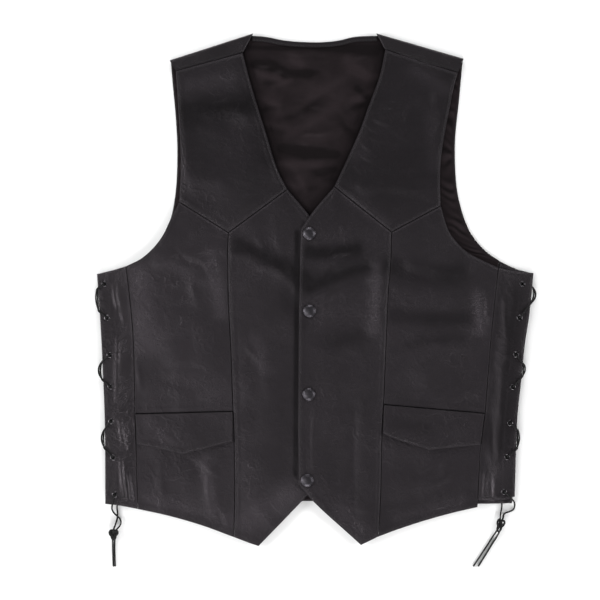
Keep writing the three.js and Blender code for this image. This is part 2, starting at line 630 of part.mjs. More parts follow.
// The back's outline for a given fineness, armholes and strip seams at the sides.
function backEdges(steps) {
  const shoulder = (side) => {
    const rows = [foldPoint(side, 0, FOLD_RADIUS), foldPoint(side, 1, FOLD_RADIUS)];
    return sampled(rows.map((p) => [p.x, p.y]), steps.shoulder);
  };
  const { left, right } = SIDES;
  const flank = (side) => {
    const armhole = [...sampled(side.backArmhole, steps.backArmhole)];
    const tip = foldPoint(side, 0, FOLD_RADIUS);
    armhole[0] = new THREE.Vector3(tip.x, tip.y, 0);
    return joined(armhole, sampled(side.backSeam, steps.backSeam));
  };
  const neck = sampled(BACK_NECK, steps.backNeck);
  const leftShoulder = shoulder(left);
  const rightShoulder = reversed(shoulder(right));
  neck[0] = leftShoulder.at(-1);
  neck[neck.length - 1] = rightShoulder[0];
  return {
    top: joined(leftShoulder, neck, rightShoulder),
    bottom: sampled(BACK_HEM, 2 * steps.shoulder + steps.backNeck),
    outer: flank(left),
    inner: flank(right),
  };
}

// A point on the shoulder, t along the fold from the armhole to the neck, s in from the fold.
function foldPoint(side, t, s) {
  const at = (rows) => new THREE.Vector2(...rows[0]).lerp(new THREE.Vector2(...rows[1]), t);
  const fold = at(side.foldLine);
  const seam = at(side.shoulderSeam);
  const inwards = seam.clone().sub(fold);
  const width = inwards.length();
  return fold.addScaledVector(inwards.normalize(), s === 'seam' ? width - GAP / 2 : s);
}

// The shoulder wraps: the back turns over a soft fold and comes down to the front's shoulder seam.
function wrapRow(side, step, k, count) {
  const t = k / count;
  if (step > STEPS.shoulderFold) {
    const p = foldPoint(side, t, 'seam');
    const top = 2 * FOLD_RADIUS - EDGE_ROLL;
    return { outside: [p.x, p.y, top], inside: [p.x, p.y, 2 * FOLD_RADIUS - BACK_LEATHER] };
  }
  const angle = Math.PI * step / STEPS.shoulderFold;
  const place = (radius) => {
    const p = foldPoint(side, t, FOLD_RADIUS - radius * Math.sin(angle));
    return [p.x, p.y, FOLD_RADIUS - radius * Math.cos(angle)];
  };
  return { outside: place(FOLD_RADIUS), inside: place(FOLD_RADIUS - BACK_LEATHER) };
}

function addBack() {
  const rows = patchOf(backEdges(STEPS), GAP / 2);
  const columns = rows[0].length;
  const outside = [];
  const inside = [];
  for (const node of rows.flat()) {
    outside.push(new THREE.Vector3(node.x, node.y, 0));
    inside.push(new THREE.Vector3(node.x, node.y, BACK_LEATHER));
  }
  const quads = quadsOf(rows.length, columns);
  const wraps = [
    { side: SIDES.left, first: 0, at: (k) => k },
    { side: SIDES.right, first: columns - 1 - STEPS.shoulder, at: (k) => STEPS.shoulder - k },
  ];
  for (const { side, first, at } of wraps) {
    let before = Array.from({ length: STEPS.shoulder + 1 }, (_, k) => first + k);
    for (let step = 1; step <= STEPS.shoulderFold + 1; step += 1) {
      const row = before.map((_, k) => {
        const places = wrapRow(side, step, at(k), STEPS.shoulder);
        outside.push(new THREE.Vector3(...places.outside));
        inside.push(new THREE.Vector3(...places.inside));
        return outside.length - 1;
      });
      for (let k = 0; k < STEPS.shoulder; k += 1) {
        quads.push([row[k], row[k + 1], before[k + 1], before[k]]);
      }
      before = row;
    }
  }
  addPiece('back_panel', closedWall(outside, inside, quads), COLOURS.leather);
}

// x of the neck edge at a height y, read along one side's neck tables.
function neckX(side, y) {
  const rows = [...side.neckHigh, ...side.neckLow.slice(1)];
  const k = Math.max(1, rows.findIndex(([, rowY]) => rowY <= y));
  const [xa, ya] = rows[k - 1];
  const [xb, yb] = rows[k];
  return xa + (xb - xa) * THREE.MathUtils.clamp((y - ya) / (yb - ya), 0, 1);
}

// The lining lies flat under the fronts and billows only where the open neck shows it.
function liningUnder({ x, y }) {
  const openingLow = SIDES.left.neckLow.at(-1)[1];
  if (y < openingLow) {
    return LINING_UNDER;
  }
  const room = Math.min(x - neckX(SIDES.left, y), neckX(SIDES.right, y) - x, NECK_WINDOW.top - y);
  return LINING_UNDER + Math.max(0, foldHeight(LINING_FOLDS, x, y)) * smooth(0, NECK_WINDOW.fade, room);
}

function addLining() {
  const rows = patchOf(backEdges(LINING_STEPS), LINING_INSET);
  addPiece('back_lining', wallOf(rows, liningUnder, LINING), COLOURS.satin);
}

function addFacing() {
  const neck = sampled(BACK_NECK, FACING_STEPS);
  const low = neck.map((p, k) => {
    const ahead = neck[Math.min(k + 1, neck.length - 1)].clone().sub(neck[Math.max(k - 1, 0)]).normalize();
    return new THREE.Vector3(p.x + ahead.y * FACING_WIDTH, p.y - ahead.x * FACING_WIDTH, 0);
  });
  const rows = patchOf({
    top: neck,
    bottom: low,
    outer: [neck[0], low[0]],
    inner: [neck.at(-1), low.at(-1)],
  }, FACING_INSET);
  const under = () => LINING_UNDER + LINING + GAP;
  addPiece('back_neck_facing', wallOf(rows, under, LINING), COLOURS.leather);
}

function addSnaps() {
  const cap = snapGeometry();
  const base = FRONT_UNDER + LAP_STEP + FRONT_LEATHER + GAP;
  SNAP_CENTRES.forEach(([x, y], k) => {
    addPiece(`snap_${k + 1}`, cap.clone().translate(x, y, base), COLOURS.snap);
  });
}

// A route whose steps fall exactly on its own points, so that tight turns get a ring each.
class Route extends THREE.Curve {
  constructor(points) {
    super();
    this.points = points;
  }

  getUtoTmapping(u) {
    return u;
  }

  getPoint(t, target = new THREE.Vector3()) {
    const place = THREE.MathUtils.clamp(t, 0, 1) * (this.points.length - 1);
    const k = Math.min(Math.floor(place), this.points.length - 2);
    return target.copy(this.points[k]).lerp(this.points[k + 1], place - k);
  }

  getTangent(t, target = new THREE.Vector3()) {
    const k = Math.round(t * (this.points.length - 1));
    const ahead = this.points[Math.min(k + 1, this.points.length - 1)].clone().sub(this.points[k]);
    const behind = this.points[k].clone().sub(this.points[Math.max(k - 1, 0)]);
    return target.copy(ahead.normalize().add(behind.normalize())).normalize();
  }
}

function tubeThrough(points) {
  const section = new THREE.Shape();
  for (let k = 0; k < LACE_SIDES; k += 1) {
    const angle = 2 * Math.PI * (k + 0.5) / LACE_SIDES;
    const place = [LACE_RADIUS * Math.cos(angle), LACE_RADIUS * Math.sin(angle)];
    if (k === 0) {
      section.moveTo(...place);
    } else {
      section.lineTo(...place);
    }
  }
  section.closePath();
  return new THREE.ExtrudeGeometry(section, { steps: points.length - 1, extrudePath: new Route(points) });
}

// x of the lacing strip's outer edge at a height y.
function edgeX(side, y) {
  const points = sampled(side.stripSide, STRIP_EDGE_SAMPLES);
  const k = Math.max(1, points.findIndex((p) => p.y <= y));
  const [a, b] = [points[k - 1], points[k]];
  return THREE.MathUtils.lerp(a.x, b.x, THREE.MathUtils.clamp((y - a.y) / (b.y - a.y), 0, 1));
}

function eyeletPlace(side, layer, k) {
  const [x, y] = (layer === 'front' ? side.eyelets : backEyelets(side))[k];
  return new THREE.Vector3(x, y, layer === 'front' ? PASS_Z.front : PASS_Z.back);
}

function faceZ(layer) {
  return { front: OUTER_LACE_Z, between: INNER_LACE_Z, back: UNDER_LACE_Z }[layer];
}

// Round the strips' edge between eyelets k and k + 1, out along a parabola and in again. The two
// strands that cross there keep apart, the outer one being the strand that is seen the longer.
function roundEdge(side, from, to, k) {
  const { above, below, reach } = side.crossings[k / 2];
  const middleY = (side.eyelets[k][1] + side.eyelets[k + 1][1]) / 2;
  const outerFrom = side.firstLayer === 'between' && k === 0 ? 'back' : 'front';
  const most = from === outerFrom ? reach : reach - CROSSING.apart;
  return Array.from({ length: CROSSING.steps + 1 }, (_, step) => {
    const t = step / CROSSING.steps;
    const y = THREE.MathUtils.lerp(middleY + above, middleY - below, t);
    const away = CROSSING.lip + (most - CROSSING.lip) * (1 - (2 * t - 1) ** 2);
    const z = THREE.MathUtils.lerp(LIP_Z[from], LIP_Z[to], t);
    return new THREE.Vector3(edgeX(side, y) + side.out * away, y, z);
  });
}

// From one layer's eyelet k round the side edge to the other layer's eyelet k + 1. A strand that
// comes from between the strips starts at the back's eyelet.
function crossing(side, from, to, k) {
  const start = eyeletPlace(side, from, k);
  const end = eyeletPlace(side, to, k + 1);
  const round = roundEdge(side, from, to, k);
  return [
    ...(from === 'between' ? [] : [start]),
    ...towards(start, round[0], faceZ(from)),
    ...round,
    ...reversed(towards(end, round.at(-1), faceZ(to))),
    end,
  ];
}

// Two points that lead from an eyelet across the face of its strip towards an edge point.
function towards(eyelet, edgePoint, z) {
  const way = edgePoint.clone().sub(eyelet).setZ(0);
  const turn = way.clone().normalize().multiplyScalar(TURN);
  const near = eyelet.clone().add(turn).setZ(z);
  const half = eyelet.clone().addScaledVector(way, TOWARDS_EDGE).setZ((z + edgePoint.z) / 2);
  return [near, half];
}

// Inside the vest, along one layer from eyelet k to eyelet k + 1.
function insideRun(side, layer, k) {
  const start = eyeletPlace(side, layer, k);
  const end = eyeletPlace(side, layer, k + 1);
  const turn = end.clone().sub(start).normalize().multiplyScalar(TURN);
  return [start.clone().add(turn).setZ(INNER_LACE_Z), end.clone().sub(turn).setZ(INNER_LACE_Z)];
}

// One strand: it crosses, runs inside, and crosses again, changing layer each time it crosses.
function strand(side, first) {
  const second = NEXT_LAYER[first];
  const third = NEXT_LAYER[second];
  return [
    ...crossing(side, first, second, 0),
    ...insideRun(side, second, 1),
    ...crossing(side, second, third, 2),
    ...insideRun(side, third, 3),
    ...crossing(side, third, second, 4),
    ...insideRun(side, second, 5),
    eyeletPlace(side, second, 6),
  ];
}

// Past the last eyelet each strand turns down and ends just short of its free run.
function lacingEnd(side, layer, firstRow) {
  const eyelet = eyeletPlace(side, layer, 6);
  const next = new THREE.Vector3(...firstRow);
  const near = eyelet.clone().add(next.clone().sub(eyelet).setZ(0).normalize().multiplyScalar(TURN));
  near.setZ(faceZ(layer));
  const back = near.clone().sub(next).normalize().multiplyScalar(GAP);
  return [near, next.add(back)];
}

// The lace's middle joins the first back eyelet to the first front one inside the vest, unless
// that one is empty.
function middleTurn(side) {
  if (side.firstLayer === 'between') {
    return [];
  }
  const back = eyeletPlace(side, 'back', 0);
  const front = eyeletPlace(side, 'front', 0);
  return [
    back.clone().lerp(front, MIDDLE_TURN).setZ(INNER_LACE_Z - MIDDLE_RISE),
    front.clone().lerp(back, MIDDLE_TURN).setZ(INNER_LACE_Z + MIDDLE_RISE),
  ];
}

function addLacing(name, side) {
  const runs = LACE_RUNS[name];
  const overStrand = strand(side, 'back');
  const underStrand = strand(side, side.firstLayer);
  const points = [
    ...reversed([...overStrand, ...lacingEnd(side, 'front', runs.over[0])]),
    ...middleTurn(side),
    ...[...underStrand, ...lacingEnd(side, 'back', runs.under[0])],
  ];
  addPiece(`lacing_${name}`, tubeThrough(points), COLOURS.lace);
  const vectors = (rows) => rows.map((row) => new THREE.Vector3(...row));
  addPiece(`lace_tail_${name}_a`, tubeThrough(vectors(runs.over)), COLOURS.lace);
  addPiece(`lace_tail_${name}_b`, tubeThrough(vectors(runs.under)), COLOURS.lace);
  addKnot(name, runs.knot, runs.ends.map(vectors));
}

function addKnot(name, { x, y, z, across, along, high }, ends) {
  const ball = new THREE.SphereGeometry(1, KNOT_FACETS.around, KNOT_FACETS.along);
  ball.scale(across, along, high).translate(x, y, z);
  const solid = ends.reduce((sum, end) => sum.add(toSolid(tubeThrough(end))), toSolid(ball));
  addPiece(`lace_knot_${name}`, toGeometry(solid), COLOURS.lace);
}

addBack();
addLining();
addFacing();
for (const [name, side] of Object.entries(SIDES)) {
  const edge = frontEdges(side);
  addBackStrip(name, side);
  addYoke(name, edge);
  addCentre(name, edge);
  addSideFront(name, edge);
  addLowerFront(name, edge);
  addFlap(name, side, edge);
  addFrontStrip(name, side, edge);
  addEyelets(name, side);
  addLacing(name, side);
}
addSnaps();

export default vest;
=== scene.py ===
"""The looks of a laced leather vest that lies flat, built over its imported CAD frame.

Tables are in millimetres, in the frame of the CAD part: +Z up, +Y to the neck, +X to the right
as the front is seen, with "left" and "right" as seen from above. Meshes are in metres.
"""

import logging
import math
from dataclasses import dataclass, field
from enum import Enum

import bpy
import numpy as np
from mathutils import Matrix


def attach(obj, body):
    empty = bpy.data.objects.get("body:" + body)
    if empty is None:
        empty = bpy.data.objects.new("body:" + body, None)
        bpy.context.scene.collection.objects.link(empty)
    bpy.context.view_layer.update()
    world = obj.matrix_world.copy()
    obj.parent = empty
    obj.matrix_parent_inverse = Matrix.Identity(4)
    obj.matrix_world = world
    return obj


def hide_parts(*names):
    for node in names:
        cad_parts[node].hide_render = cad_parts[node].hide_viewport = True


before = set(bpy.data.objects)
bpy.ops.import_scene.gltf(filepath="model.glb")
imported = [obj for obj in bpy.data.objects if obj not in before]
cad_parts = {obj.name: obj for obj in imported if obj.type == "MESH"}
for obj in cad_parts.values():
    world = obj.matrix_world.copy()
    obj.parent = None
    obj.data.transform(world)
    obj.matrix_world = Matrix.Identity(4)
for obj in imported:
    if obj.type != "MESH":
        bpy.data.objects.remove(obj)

log = logging.getLogger("vest")

MM = 0.001
BODY = "root"

# Cloth and levels, as in the CAD part
BACK_LEATHER = 1.2
LINING = 1.0
FRONT_LEATHER = 1.8
STRIP_LEATHER = 1.4
GAP = 0.3
LINING_UNDER = BACK_LEATHER + GAP
FRONT_UNDER = 4.0
LAP_STEP = FRONT_LEATHER + 0.5
LAP_BLEND = (9.0, 30.0)
CROWN = 0.9
NECK_LIFT = 2.4
LACE_RADIUS = 1.0
UNDER_LACE_Z = LACE_RADIUS + 0.1
FLANGE = 0.4
STRIP_LIFT = 2 * LACE_RADIUS + 0.1 + GAP + FLANGE + GAP
STRIP_TOP = STRIP_LIFT + BACK_LEATHER
INNER_LACE_Z = STRIP_TOP + GAP + LACE_RADIUS
FRONT_STRIP_UNDER = INNER_LACE_Z + LACE_RADIUS + GAP
FRONT_STRIP_TOP = FRONT_STRIP_UNDER + STRIP_LEATHER
OUTER_LACE_Z = FRONT_STRIP_TOP + GAP + FLANGE + GAP + LACE_RADIUS + 0.05
STRIP_RAMP = (0.08, 0.55)
BACK_EYELET_SHIFT = 3.4
FOLD_RADIUS = (FRONT_UNDER + FRONT_LEATHER) / 2
SNAP_BASE = FRONT_UNDER + LAP_STEP + FRONT_LEATHER + GAP

# Routes of the lacing
TURN = 1.6
TOWARDS_EDGE = 0.6
PASS_Z = {
    "front": FRONT_STRIP_UNDER + (STRIP_LEATHER + GAP + FLANGE) / 2,
    "back": STRIP_TOP - (BACK_LEATHER + GAP + FLANGE) / 2,
}
CROSSING_APART = 2.2
CROSSING_LIP = 0.95
CROSSING_STEPS = 6
FACE_Z = {"front": OUTER_LACE_Z, "between": INNER_LACE_Z, "back": UNDER_LACE_Z}
LIP_Z = {"front": FRONT_STRIP_TOP + LACE_RADIUS + 0.1, "between": INNER_LACE_Z, "back": UNDER_LACE_Z + 0.3}
NEXT_LAYER = {"front": "back", "between": "back", "back": "front"}
MIDDLE_TURN = 0.18
MIDDLE_RISE = 0.7

Rows = tuple[tuple[float, float], ...]
Places = tuple[tuple[float, float, float], ...]
Colour = tuple[float, float, float, float]
Array = np.ndarray
Object, Material = bpy.types.Object, bpy.types.Material
Node, NodeTree, Socket = bpy.types.Node, bpy.types.NodeTree, bpy.types.NodeSocket


class Side(Enum):
    """The two sides of the vest, as seen from above."""

    LEFT = "left"
    RIGHT = "right"


class Slot(Enum):
    """The names of the material slots that go with the pieces."""

    LEATHER = "leather"
    SATIN = "satin_lining"
    EYELET = "eyelet_metal"
    SNAP = "snap_metal"
    LACE = "lace"


class Edge(Enum):
    """The four edges of a cut piece."""

    TOP = "top"
    BOTTOM = "bottom"
    OUTER = "outer"
    INNER = "inner"


@dataclass(frozen=True)
class Seams:
    """One side's corner points and seam curves, from the outer end inwards or from the neck down.

    Each crossing of the lace has how far above its middle it leaves the strip's edge, how far
    below it comes back, and how far it reaches out. A first layer of "between" leaves the first
    front eyelet empty.
    """

    out: int
    fold_line: Rows
    shoulder_seam: Rows
    neck_high: Rows
    neck_low: Rows
    armhole: Rows
    underarm: Rows
    yoke_outer: Rows
    yoke_inner: Rows
    princess_high: Rows
    princess_low: Rows
    pocket_seam: Rows
    strip_high: Rows
    strip_low: Rows
    front_edge: Rows
    hem_tip: Rows
    hem_rise: Rows
    hem_side: Rows
    strip_top: Rows
    strip_side: Rows
    strip_hem: Rows
    flap_outer: Rows
    flap_inner: Rows
    back_armhole: Rows
    back_seam: Rows
    back_side: Rows
    back_top: Rows
    back_hem: Rows
    eyelets: Rows
    crossings: tuple[tuple[float, float, float], ...]
    first_layer: str


@dataclass(frozen=True)
class Crease:
    """A soft ridge, or a trough where the height is negative, along a slightly bowed run."""

    x1: float
    y1: float
    x2: float
    y2: float
    width: float
    height: float
    bow: float = 0.0


def creases(*rows: tuple[float, ...]) -> tuple[Crease, ...]:
    """A table of creases: both ends, the width, the height and the bow of each."""
    return tuple(Crease(*row) for row in rows)


LEFT_SEAMS = Seams(
    out=-1,
    fold_line=((-175.1, 275.7), (-74.7, 308.1)),
    shoulder_seam=((-167.5, 262.9), (-87.0, 284.6)),
    neck_high=(
        (-87.0, 284.6), (-79.5, 254.8), (-69.9, 222.3), (-60.3, 191.7), (-45.1, 143.7), (-33.5, 120.6),
    ),
    neck_low=((-33.5, 120.6), (-21, 106.2), (5.7, 74.2)),
    armhole=((-167.5, 262.9), (-165.3, 227.7), (-162.3, 179.7), (-161.7, 143.7), (-163.5, 105.5)),
    underarm=(
        (-227.1, 28.5), (-209.1, 37.6), (-193.5, 51.7), (-182.7, 66.4), (-175.2, 82), (-163.5, 105.5),
    ),
    yoke_outer=((-163.5, 105.5), (-104.3, 68.7)),
    yoke_inner=((-104.3, 68.7), (-33.5, 120.6)),
    princess_high=((-104.3, 68.7), (-105.0, 47.7), (-104.3, -9.9), (-101.5, -67.1), (-98.7, -146.1)),
    princess_low=((-98.7, -146.1), (-97.4, -181.9), (-96.7, -252.3), (-97.7, -297.2)),
    pocket_seam=((-216.3, -149.0), (-98.7, -146.1)),
    strip_high=((-227.1, 28.5), (-219.2, -47.9), (-216.3, -149.0)),
    strip_low=((-216.3, -149.0), (-215.2, -185.7), (-213.2, -263.6)),
    front_edge=((5.7, 74.2), (5.7, -231.8)),
    hem_tip=((-97.7, -297.2), (-78.3, -304.7), (-68.1, -308.2)),
    hem_rise=((-68.1, -308.2), (5.7, -231.8)),
    hem_side=((-213.2, -263.6), (-179.1, -270.9), (-140.2, -281.9), (-97.7, -297.2)),
    strip_top=((-262.1, 18.9), (-242.7, 23.7), (-227.1, 28.5)),
    strip_side=((-262.1, 18.9), (-258.4, -34.6), (-254.7, -105.4), (-252.7, -162.8), (-252.1, -257.1)),
    strip_hem=((-252.1, -257.1), (-235.1, -259.1), (-213.2, -263.6)),
    flap_outer=((-215.0, -186.1), (-200.0, -188.7), (-159.9, -197.8)),
    flap_inner=((-159.9, -197.8), (-98.4, -182.8)),
    back_armhole=(
        (-175.1, 275.7), (-171.4, 246.9), (-168.0, 210.0), (-165.9, 167.7), (-168.0, 117.3), (-175.5, 81.3),
        (-192.5, 52.0), (-208.5, 37.2), (-226.5, 28.0),
    ),
    back_seam=((-226.5, 28.0), (-219.2, -47.9), (-215.6, -150.0), (-213.2, -257.6)),
    back_side=((-261.3, 18.1), (-257.7, -34.6), (-254.0, -105.4), (-252.0, -162.8), (-251.3, -256.6)),
    back_top=((-261.3, 18.1), (-242.7, 23.0), (-226.5, 28.0)),
    back_hem=((-251.3, -256.6), (-213.2, -257.6)),
    eyelets=(
        (-253.3, 7.1), (-249.8, -33.7), (-246.9, -78.2), (-245.9, -116.1), (-245.0, -157.9),
        (-242.6, -201.4), (-240.5, -245.7),
    ),
    crossings=((14, 12, 3.5), (10, 11, 5.3), (11, 10, 4.3)),
    first_layer="front",
)

RIGHT_SEAMS = Seams(
    out=1,
    fold_line=((178.5, 277.7), (73.5, 308.1)),
    shoulder_seam=((171.2, 260.6), (84.1, 288.3)),
    neck_high=((84.1, 288.3), (77.3, 256.7), (64.0, 220.5), (54.4, 193.6), (42.9, 166.9), (22.9, 124.0)),
    neck_low=((22.9, 124.0), (-2.0, 95.0), (-17.3, 72.9)),
    armhole=(
        (171.2, 260.6), (166.5, 243.3), (159.7, 208.9), (152.9, 170.6), (150.1, 140.0), (150.9, 100.9),
    ),
    underarm=((219.9, 26.6), (193.7, 39.0), (182.6, 45.3), (169.7, 57.7), (159.7, 72.1), (150.9, 100.9)),
    yoke_outer=((150.9, 100.9), (91.7, 69.3)),
    yoke_inner=((91.7, 69.3), (22.9, 124.0)),
    princess_high=((91.7, 69.3), (90.8, 35.7), (87.9, -0.3), (84.9, -67.1), (82.1, -137.9)),
    princess_low=((82.1, -137.9), (80.2, -174.3), (78.3, -252.3), (75.7, -296.7)),
    pocket_seam=((204.0, -148.4), (82.1, -137.9)),
    strip_high=((219.9, 26.6), (215.1, -19.3), (210.3, -67.1), (204.0, -148.4)),
    strip_low=((204.0, -148.4), (198.9, -185.7), (194.9, -261.2)),
    front_edge=((-17.3, 72.9), (-18.7, 18.9), (-20.2, -86.2), (-20.6, -181.5), (-20.0, -233.6)),
    hem_tip=((75.7, -296.7), (54.9, -306.9)),
    hem_rise=((54.9, -306.9), (-2.7, -254.0), (-20.0, -233.6)),
    hem_side=((194.9, -261.2), (166.5, -267.7), (134.1, -276.7), (101.7, -287.1), (75.7, -296.7)),
    strip_top=((262.1, 20.1), (241.0, 22.4), (219.9, 26.6)),
    strip_side=(
        (262.1, 20.1), (257.2, -28.9), (251.5, -67.1), (246.7, -114.9), (242.8, -153.2), (240.9, -201.1),
        (239.6, -248.3),
    ),
    strip_hem=((239.6, -248.3), (228.0, -252.0), (195.6, -253.2)),
    flap_outer=((198.9, -186.1), (150.1, -191.5), (137.6, -192.8)),
    flap_inner=((137.6, -192.8), (96.5, -179.9), (81.0, -173.3)),
    back_armhole=(
        (178.5, 277.7), (173.0, 228.1), (168.3, 180.2), (169.3, 132.4), (173.9, 103.6), (186.4, 69.3),
        (205.0, 46.5), (222.0, 34.5),
    ),
    back_seam=((222.0, 34.5), (215.1, -19.3), (204.5, -134.1), (195.3, -257.6)),
    back_side=(
        (261.5, 19.6), (256.6, -28.9), (250.9, -67.1), (246.1, -114.9), (242.2, -153.2), (240.2, -201.1),
        (236.4, -256.6),
    ),
    back_top=((261.5, 19.6), (240.0, 25.6), (222.0, 34.5)),
    back_hem=((236.4, -256.6), (195.3, -257.6)),
    eyelets=(
        (248.6, 7.1), (245.3, -33.7), (240.9, -77.7), (237.2, -116.7), (233.7, -159.9), (230.2, -200.8),
        (226.6, -242.5),
    ),
    crossings=((16, 2, 5.2), (8, 6.5, 3.6), (12, 10, 3.5)),
    first_layer="between",
)

SEAMS: dict[Side, Seams] = {Side.LEFT: LEFT_SEAMS, Side.RIGHT: RIGHT_SEAMS}

BACK_NECK: Rows = (
    (-76.1, 305.4), (-60.3, 304.3), (-36.3, 299.9), (-12.3, 297.9), (11.7, 297.9), (29.7, 300.1),
    (46.5, 304.1), (74.8, 305.4),
)
BACK_HEM: Rows = ((-213.2, -257.6), (0.0, -254.2), (195.3, -257.6))
FACING_WIDTH = 7.0
FACING_INSET = 1.2
LINING_INSET = 1.6
NECK_WINDOW = (291.0, 16.0)
LINING_LOW = 74.2
LINING_GAIN = 1.1
EDGE_SHADE = (0.9, 3.2)
SNAP_CENTRES: Rows = ((-7.3, 67.5), (-6.9, -25.5), (-7.7, -125.5), (-9.7, -228.8))
LAP_X = -7.3

# The largest folds, where the CAD part has them
FRONT_FOLDS = creases(
    # Left pull fold and its trough
    (-98, 46, -28, 18, 9, 2), (-96, 28, -34, 2, 10, -0.8),
    # Right chest fold, waist trough, seam pucker and front ridge
    (26, 34, 66, 42, 10, 1.7), (22, 12, 64, 27, 8, -0.8), (71, 10, 69, -44, 8, 1.3),
    (59, -134, 60, -284, 15, 0.9),
    # Underarms
    (-188, 36, -136, 34, 11, 2), (118, 30, 176, 22, 11, 1.7),
    # Waist
    (-176, -60, -160, -132, 14, 1.1), (150, -58, 138, -120, 14, 1.1),
    # Pockets
    (-128, -218, -128, -262, 8, 1.3), (158, -214, 150, -256, 9, 1.1),
    # Yokes
    (-138, 226, -84, 210, 13, 1.4), (-142, 132, -72, 150, 14, 1.2), (84, 214, 132, 234, 13, 1.4),
    (58, 124, 128, 122, 11, 1.4),
    # Left front
    (-62, -100, -58, -230, 14, 1),
)

LINING_FOLDS = creases(
    # Billows, from the collar down
    (-62, 262, -24, 250, 9, 2), (-44, 281, 14, 276, 8, 1.7), (22, 262, 58, 272, 9, 1.7),
    (-40, 222, 18, 206, 11, 1.5), (26, 232, 42, 206, 9, 1.6),
    # Low fold and ridge
    (-30, 178, 20, 180, 8, 1.8), (-22, 152, 12, 149, 9, 1.2),
)

# Creases and drag lines
FRONT_CREASES = creases(
    # Left yoke
    (-148.9, 221.9, -90.3, 241.1, 8, -0.7, 3), (-124.9, 250.7, -94.1, 255.5, 3, -0.35, 1),
    (-138.3, 142.3, -106.6, 148.5, 7, -0.5, 2), (-90.3, 88.5, -68.7, 103.9, 4, 0.55, 1),
    (-152.7, 189.3, -148.9, 122.1, 6, 0.5, 2),
    # Right yoke
    (124.7, 267.1, 155.5, 252.7, 6, 0.8, 2), (142.5, 244.5, 152.1, 189.3, 7, -0.5, -3),
    (66.2, 208.5, 91.1, 197.9, 2.4, 0.4, 2), (56.1, 197.9, 71.9, 186.4, 2, -0.35, 1),
    (52.7, 179.7, 68.1, 167.2, 2, 0.4, 1), (47, 163.4, 64.3, 151.9, 2.2, -0.4, 1),
    (42.2, 153.8, 56.1, 138.4, 2.2, 0.4, -1), (94.5, 191.7, 116.1, 178.7, 2.4, 0.32, 2),
    (82.5, 221.9, 106.5, 219.1, 2.2, -0.3, 2), (68.1, 182.1, 82.5, 178.7, 2, 0.3, 1),
    (40.3, 117.3, 85.4, 77.9, 2.6, 0.4, 1), (56.1, 111.5, 130.5, 107.7, 7, -0.5, -4),
    # Left centre, out to the princess seam
    (-95.1, 40.5, -61.5, 35.7, 8, -0.8, 3), (-48.1, 84.7, -39.4, 49.1, 7, 0.7, 2),
    (-71.1, 64.5, -60.5, 49.1, 4, 0.5, -1), (-81.7, -68.9, -63.9, -86.7, 4, 0.6, 1),
    (-60.5, -79.5, -48.1, -137.1, 7, 0.5, 3), (-71.1, -252.3, -47.1, -285.9, 8, 0.7, 3),
    (-27.5, 36.5, -30.9, -17.1, 9, -0.5, 2), (-94.1, -65.1, -90.3, -132.3, 6, -0.4, 2),
    # Right ripples at the first snap
    (-4.9, 57.8, 11.5, 59.7, 2.4, 0.4, 1), (-1.5, 49.1, 9.5, 51.1, 2.2, -0.4, 1),
    # Right chest and waist
    (5.6, 47.2, 47.9, 50.1, 8, -0.7, 1), (-2.7, 3.9, 62.3, 27.1, 7, -0.7, -2),
    (-10.6, -14.2, 12.4, -1.7, 2.6, 0.5, -1), (15.3, -8.5, 44.1, 4, 4.5, 0.4, -2),
    # Right puckers beside the princess seam
    (66.2, 11.7, 80.6, 18.4, 2.2, 0.45, 1), (64.3, -1.7, 80.6, 5.9, 2.2, -0.4, 1),
    (63.3, -13.3, 79.6, -6.5, 2.2, 0.4, -1), (61.4, -25.7, 77.7, -19, 2.2, -0.35, 1),
    (59.5, -39.2, 75.8, -32.5, 2.2, 0.35, 1),
    # Right centre and placket
    (23.9, -60.3, 56.1, -51.7, 7, -0.5, 3), (-1, -140.9, -2, -214.9, 2.6, 0.45, 1),
    (48.9, -137.1, 47, -290.7, 5, -0.4, 2), (53.7, -264.3, 72.9, -258.1, 2.4, 0.3, 1),
    # Left underarm and side
    (-167.1, 44.3, -135.9, 29, 4, -0.9, 3), (-138.3, 29.9, -127.7, 4, 4, -0.6, -2),
    (-190.1, 29.9, -162.3, 40.5, 3.6, 0.6, 1), (-147.9, 16.5, -138.3, -21.9, 6, 0.6, 2),
    (-215.1, -61.3, -201.7, -74.7, 2.6, 0.5, 1), (-213.2, -79.5, -209.3, -117.9, 3, 0.4, 1),
    (-195.9, -68.9, -152.7, -61.3, 5, 0.35, 2), (-176.7, -92.9, -128.7, -98.7, 5, -0.35, -3),
    (-190.1, -113.1, -152.7, -125.1, 5, 0.35, 2),
    # Right side
    (101.7, 18.5, 159.3, 13.7, 13, -0.8, 3), (121.9, -29.7, 193.9, -26.8, 10, -0.6, 2),
    (120.5, -58.6, 190.8, -52.7, 8, -0.5, -2), (144.9, -66.1, 195.8, -68.9, 5, 0.4, 2),
    (200.6, -5.1, 203.5, -42.1, 4, 0.6, 1), (173.7, -137.1, 197.7, -125.1, 6, -0.4, 1),
    # Left pocket
    (-138.3, -204.3, -116.2, -223.5, 3, 0.7, 1), (-128.7, -225.4, -124.9, -264.8, 3.4, 0.7, 1),
    (-185.3, -209.1, -180.5, -258.1, 5, 0.5, 2), (-109.5, -265.7, -103.7, -286.9, 3.4, 0.55, 0),
    (-152.7, -202.4, -141.2, -213.9, 3, -0.5, 0),
    # Right pocket and hem
    (123.8, -224.5, 153.5, -207.2, 4.5, -0.8, 2), (132.4, -236, 162.2, -221.6, 4.5, 0.5, 2),
    (82.5, -264.8, 106.5, -258.1, 2.6, 0.35, 1), (111.3, -267.7, 131.5, -272.5, 2.6, -0.35, 1),
)

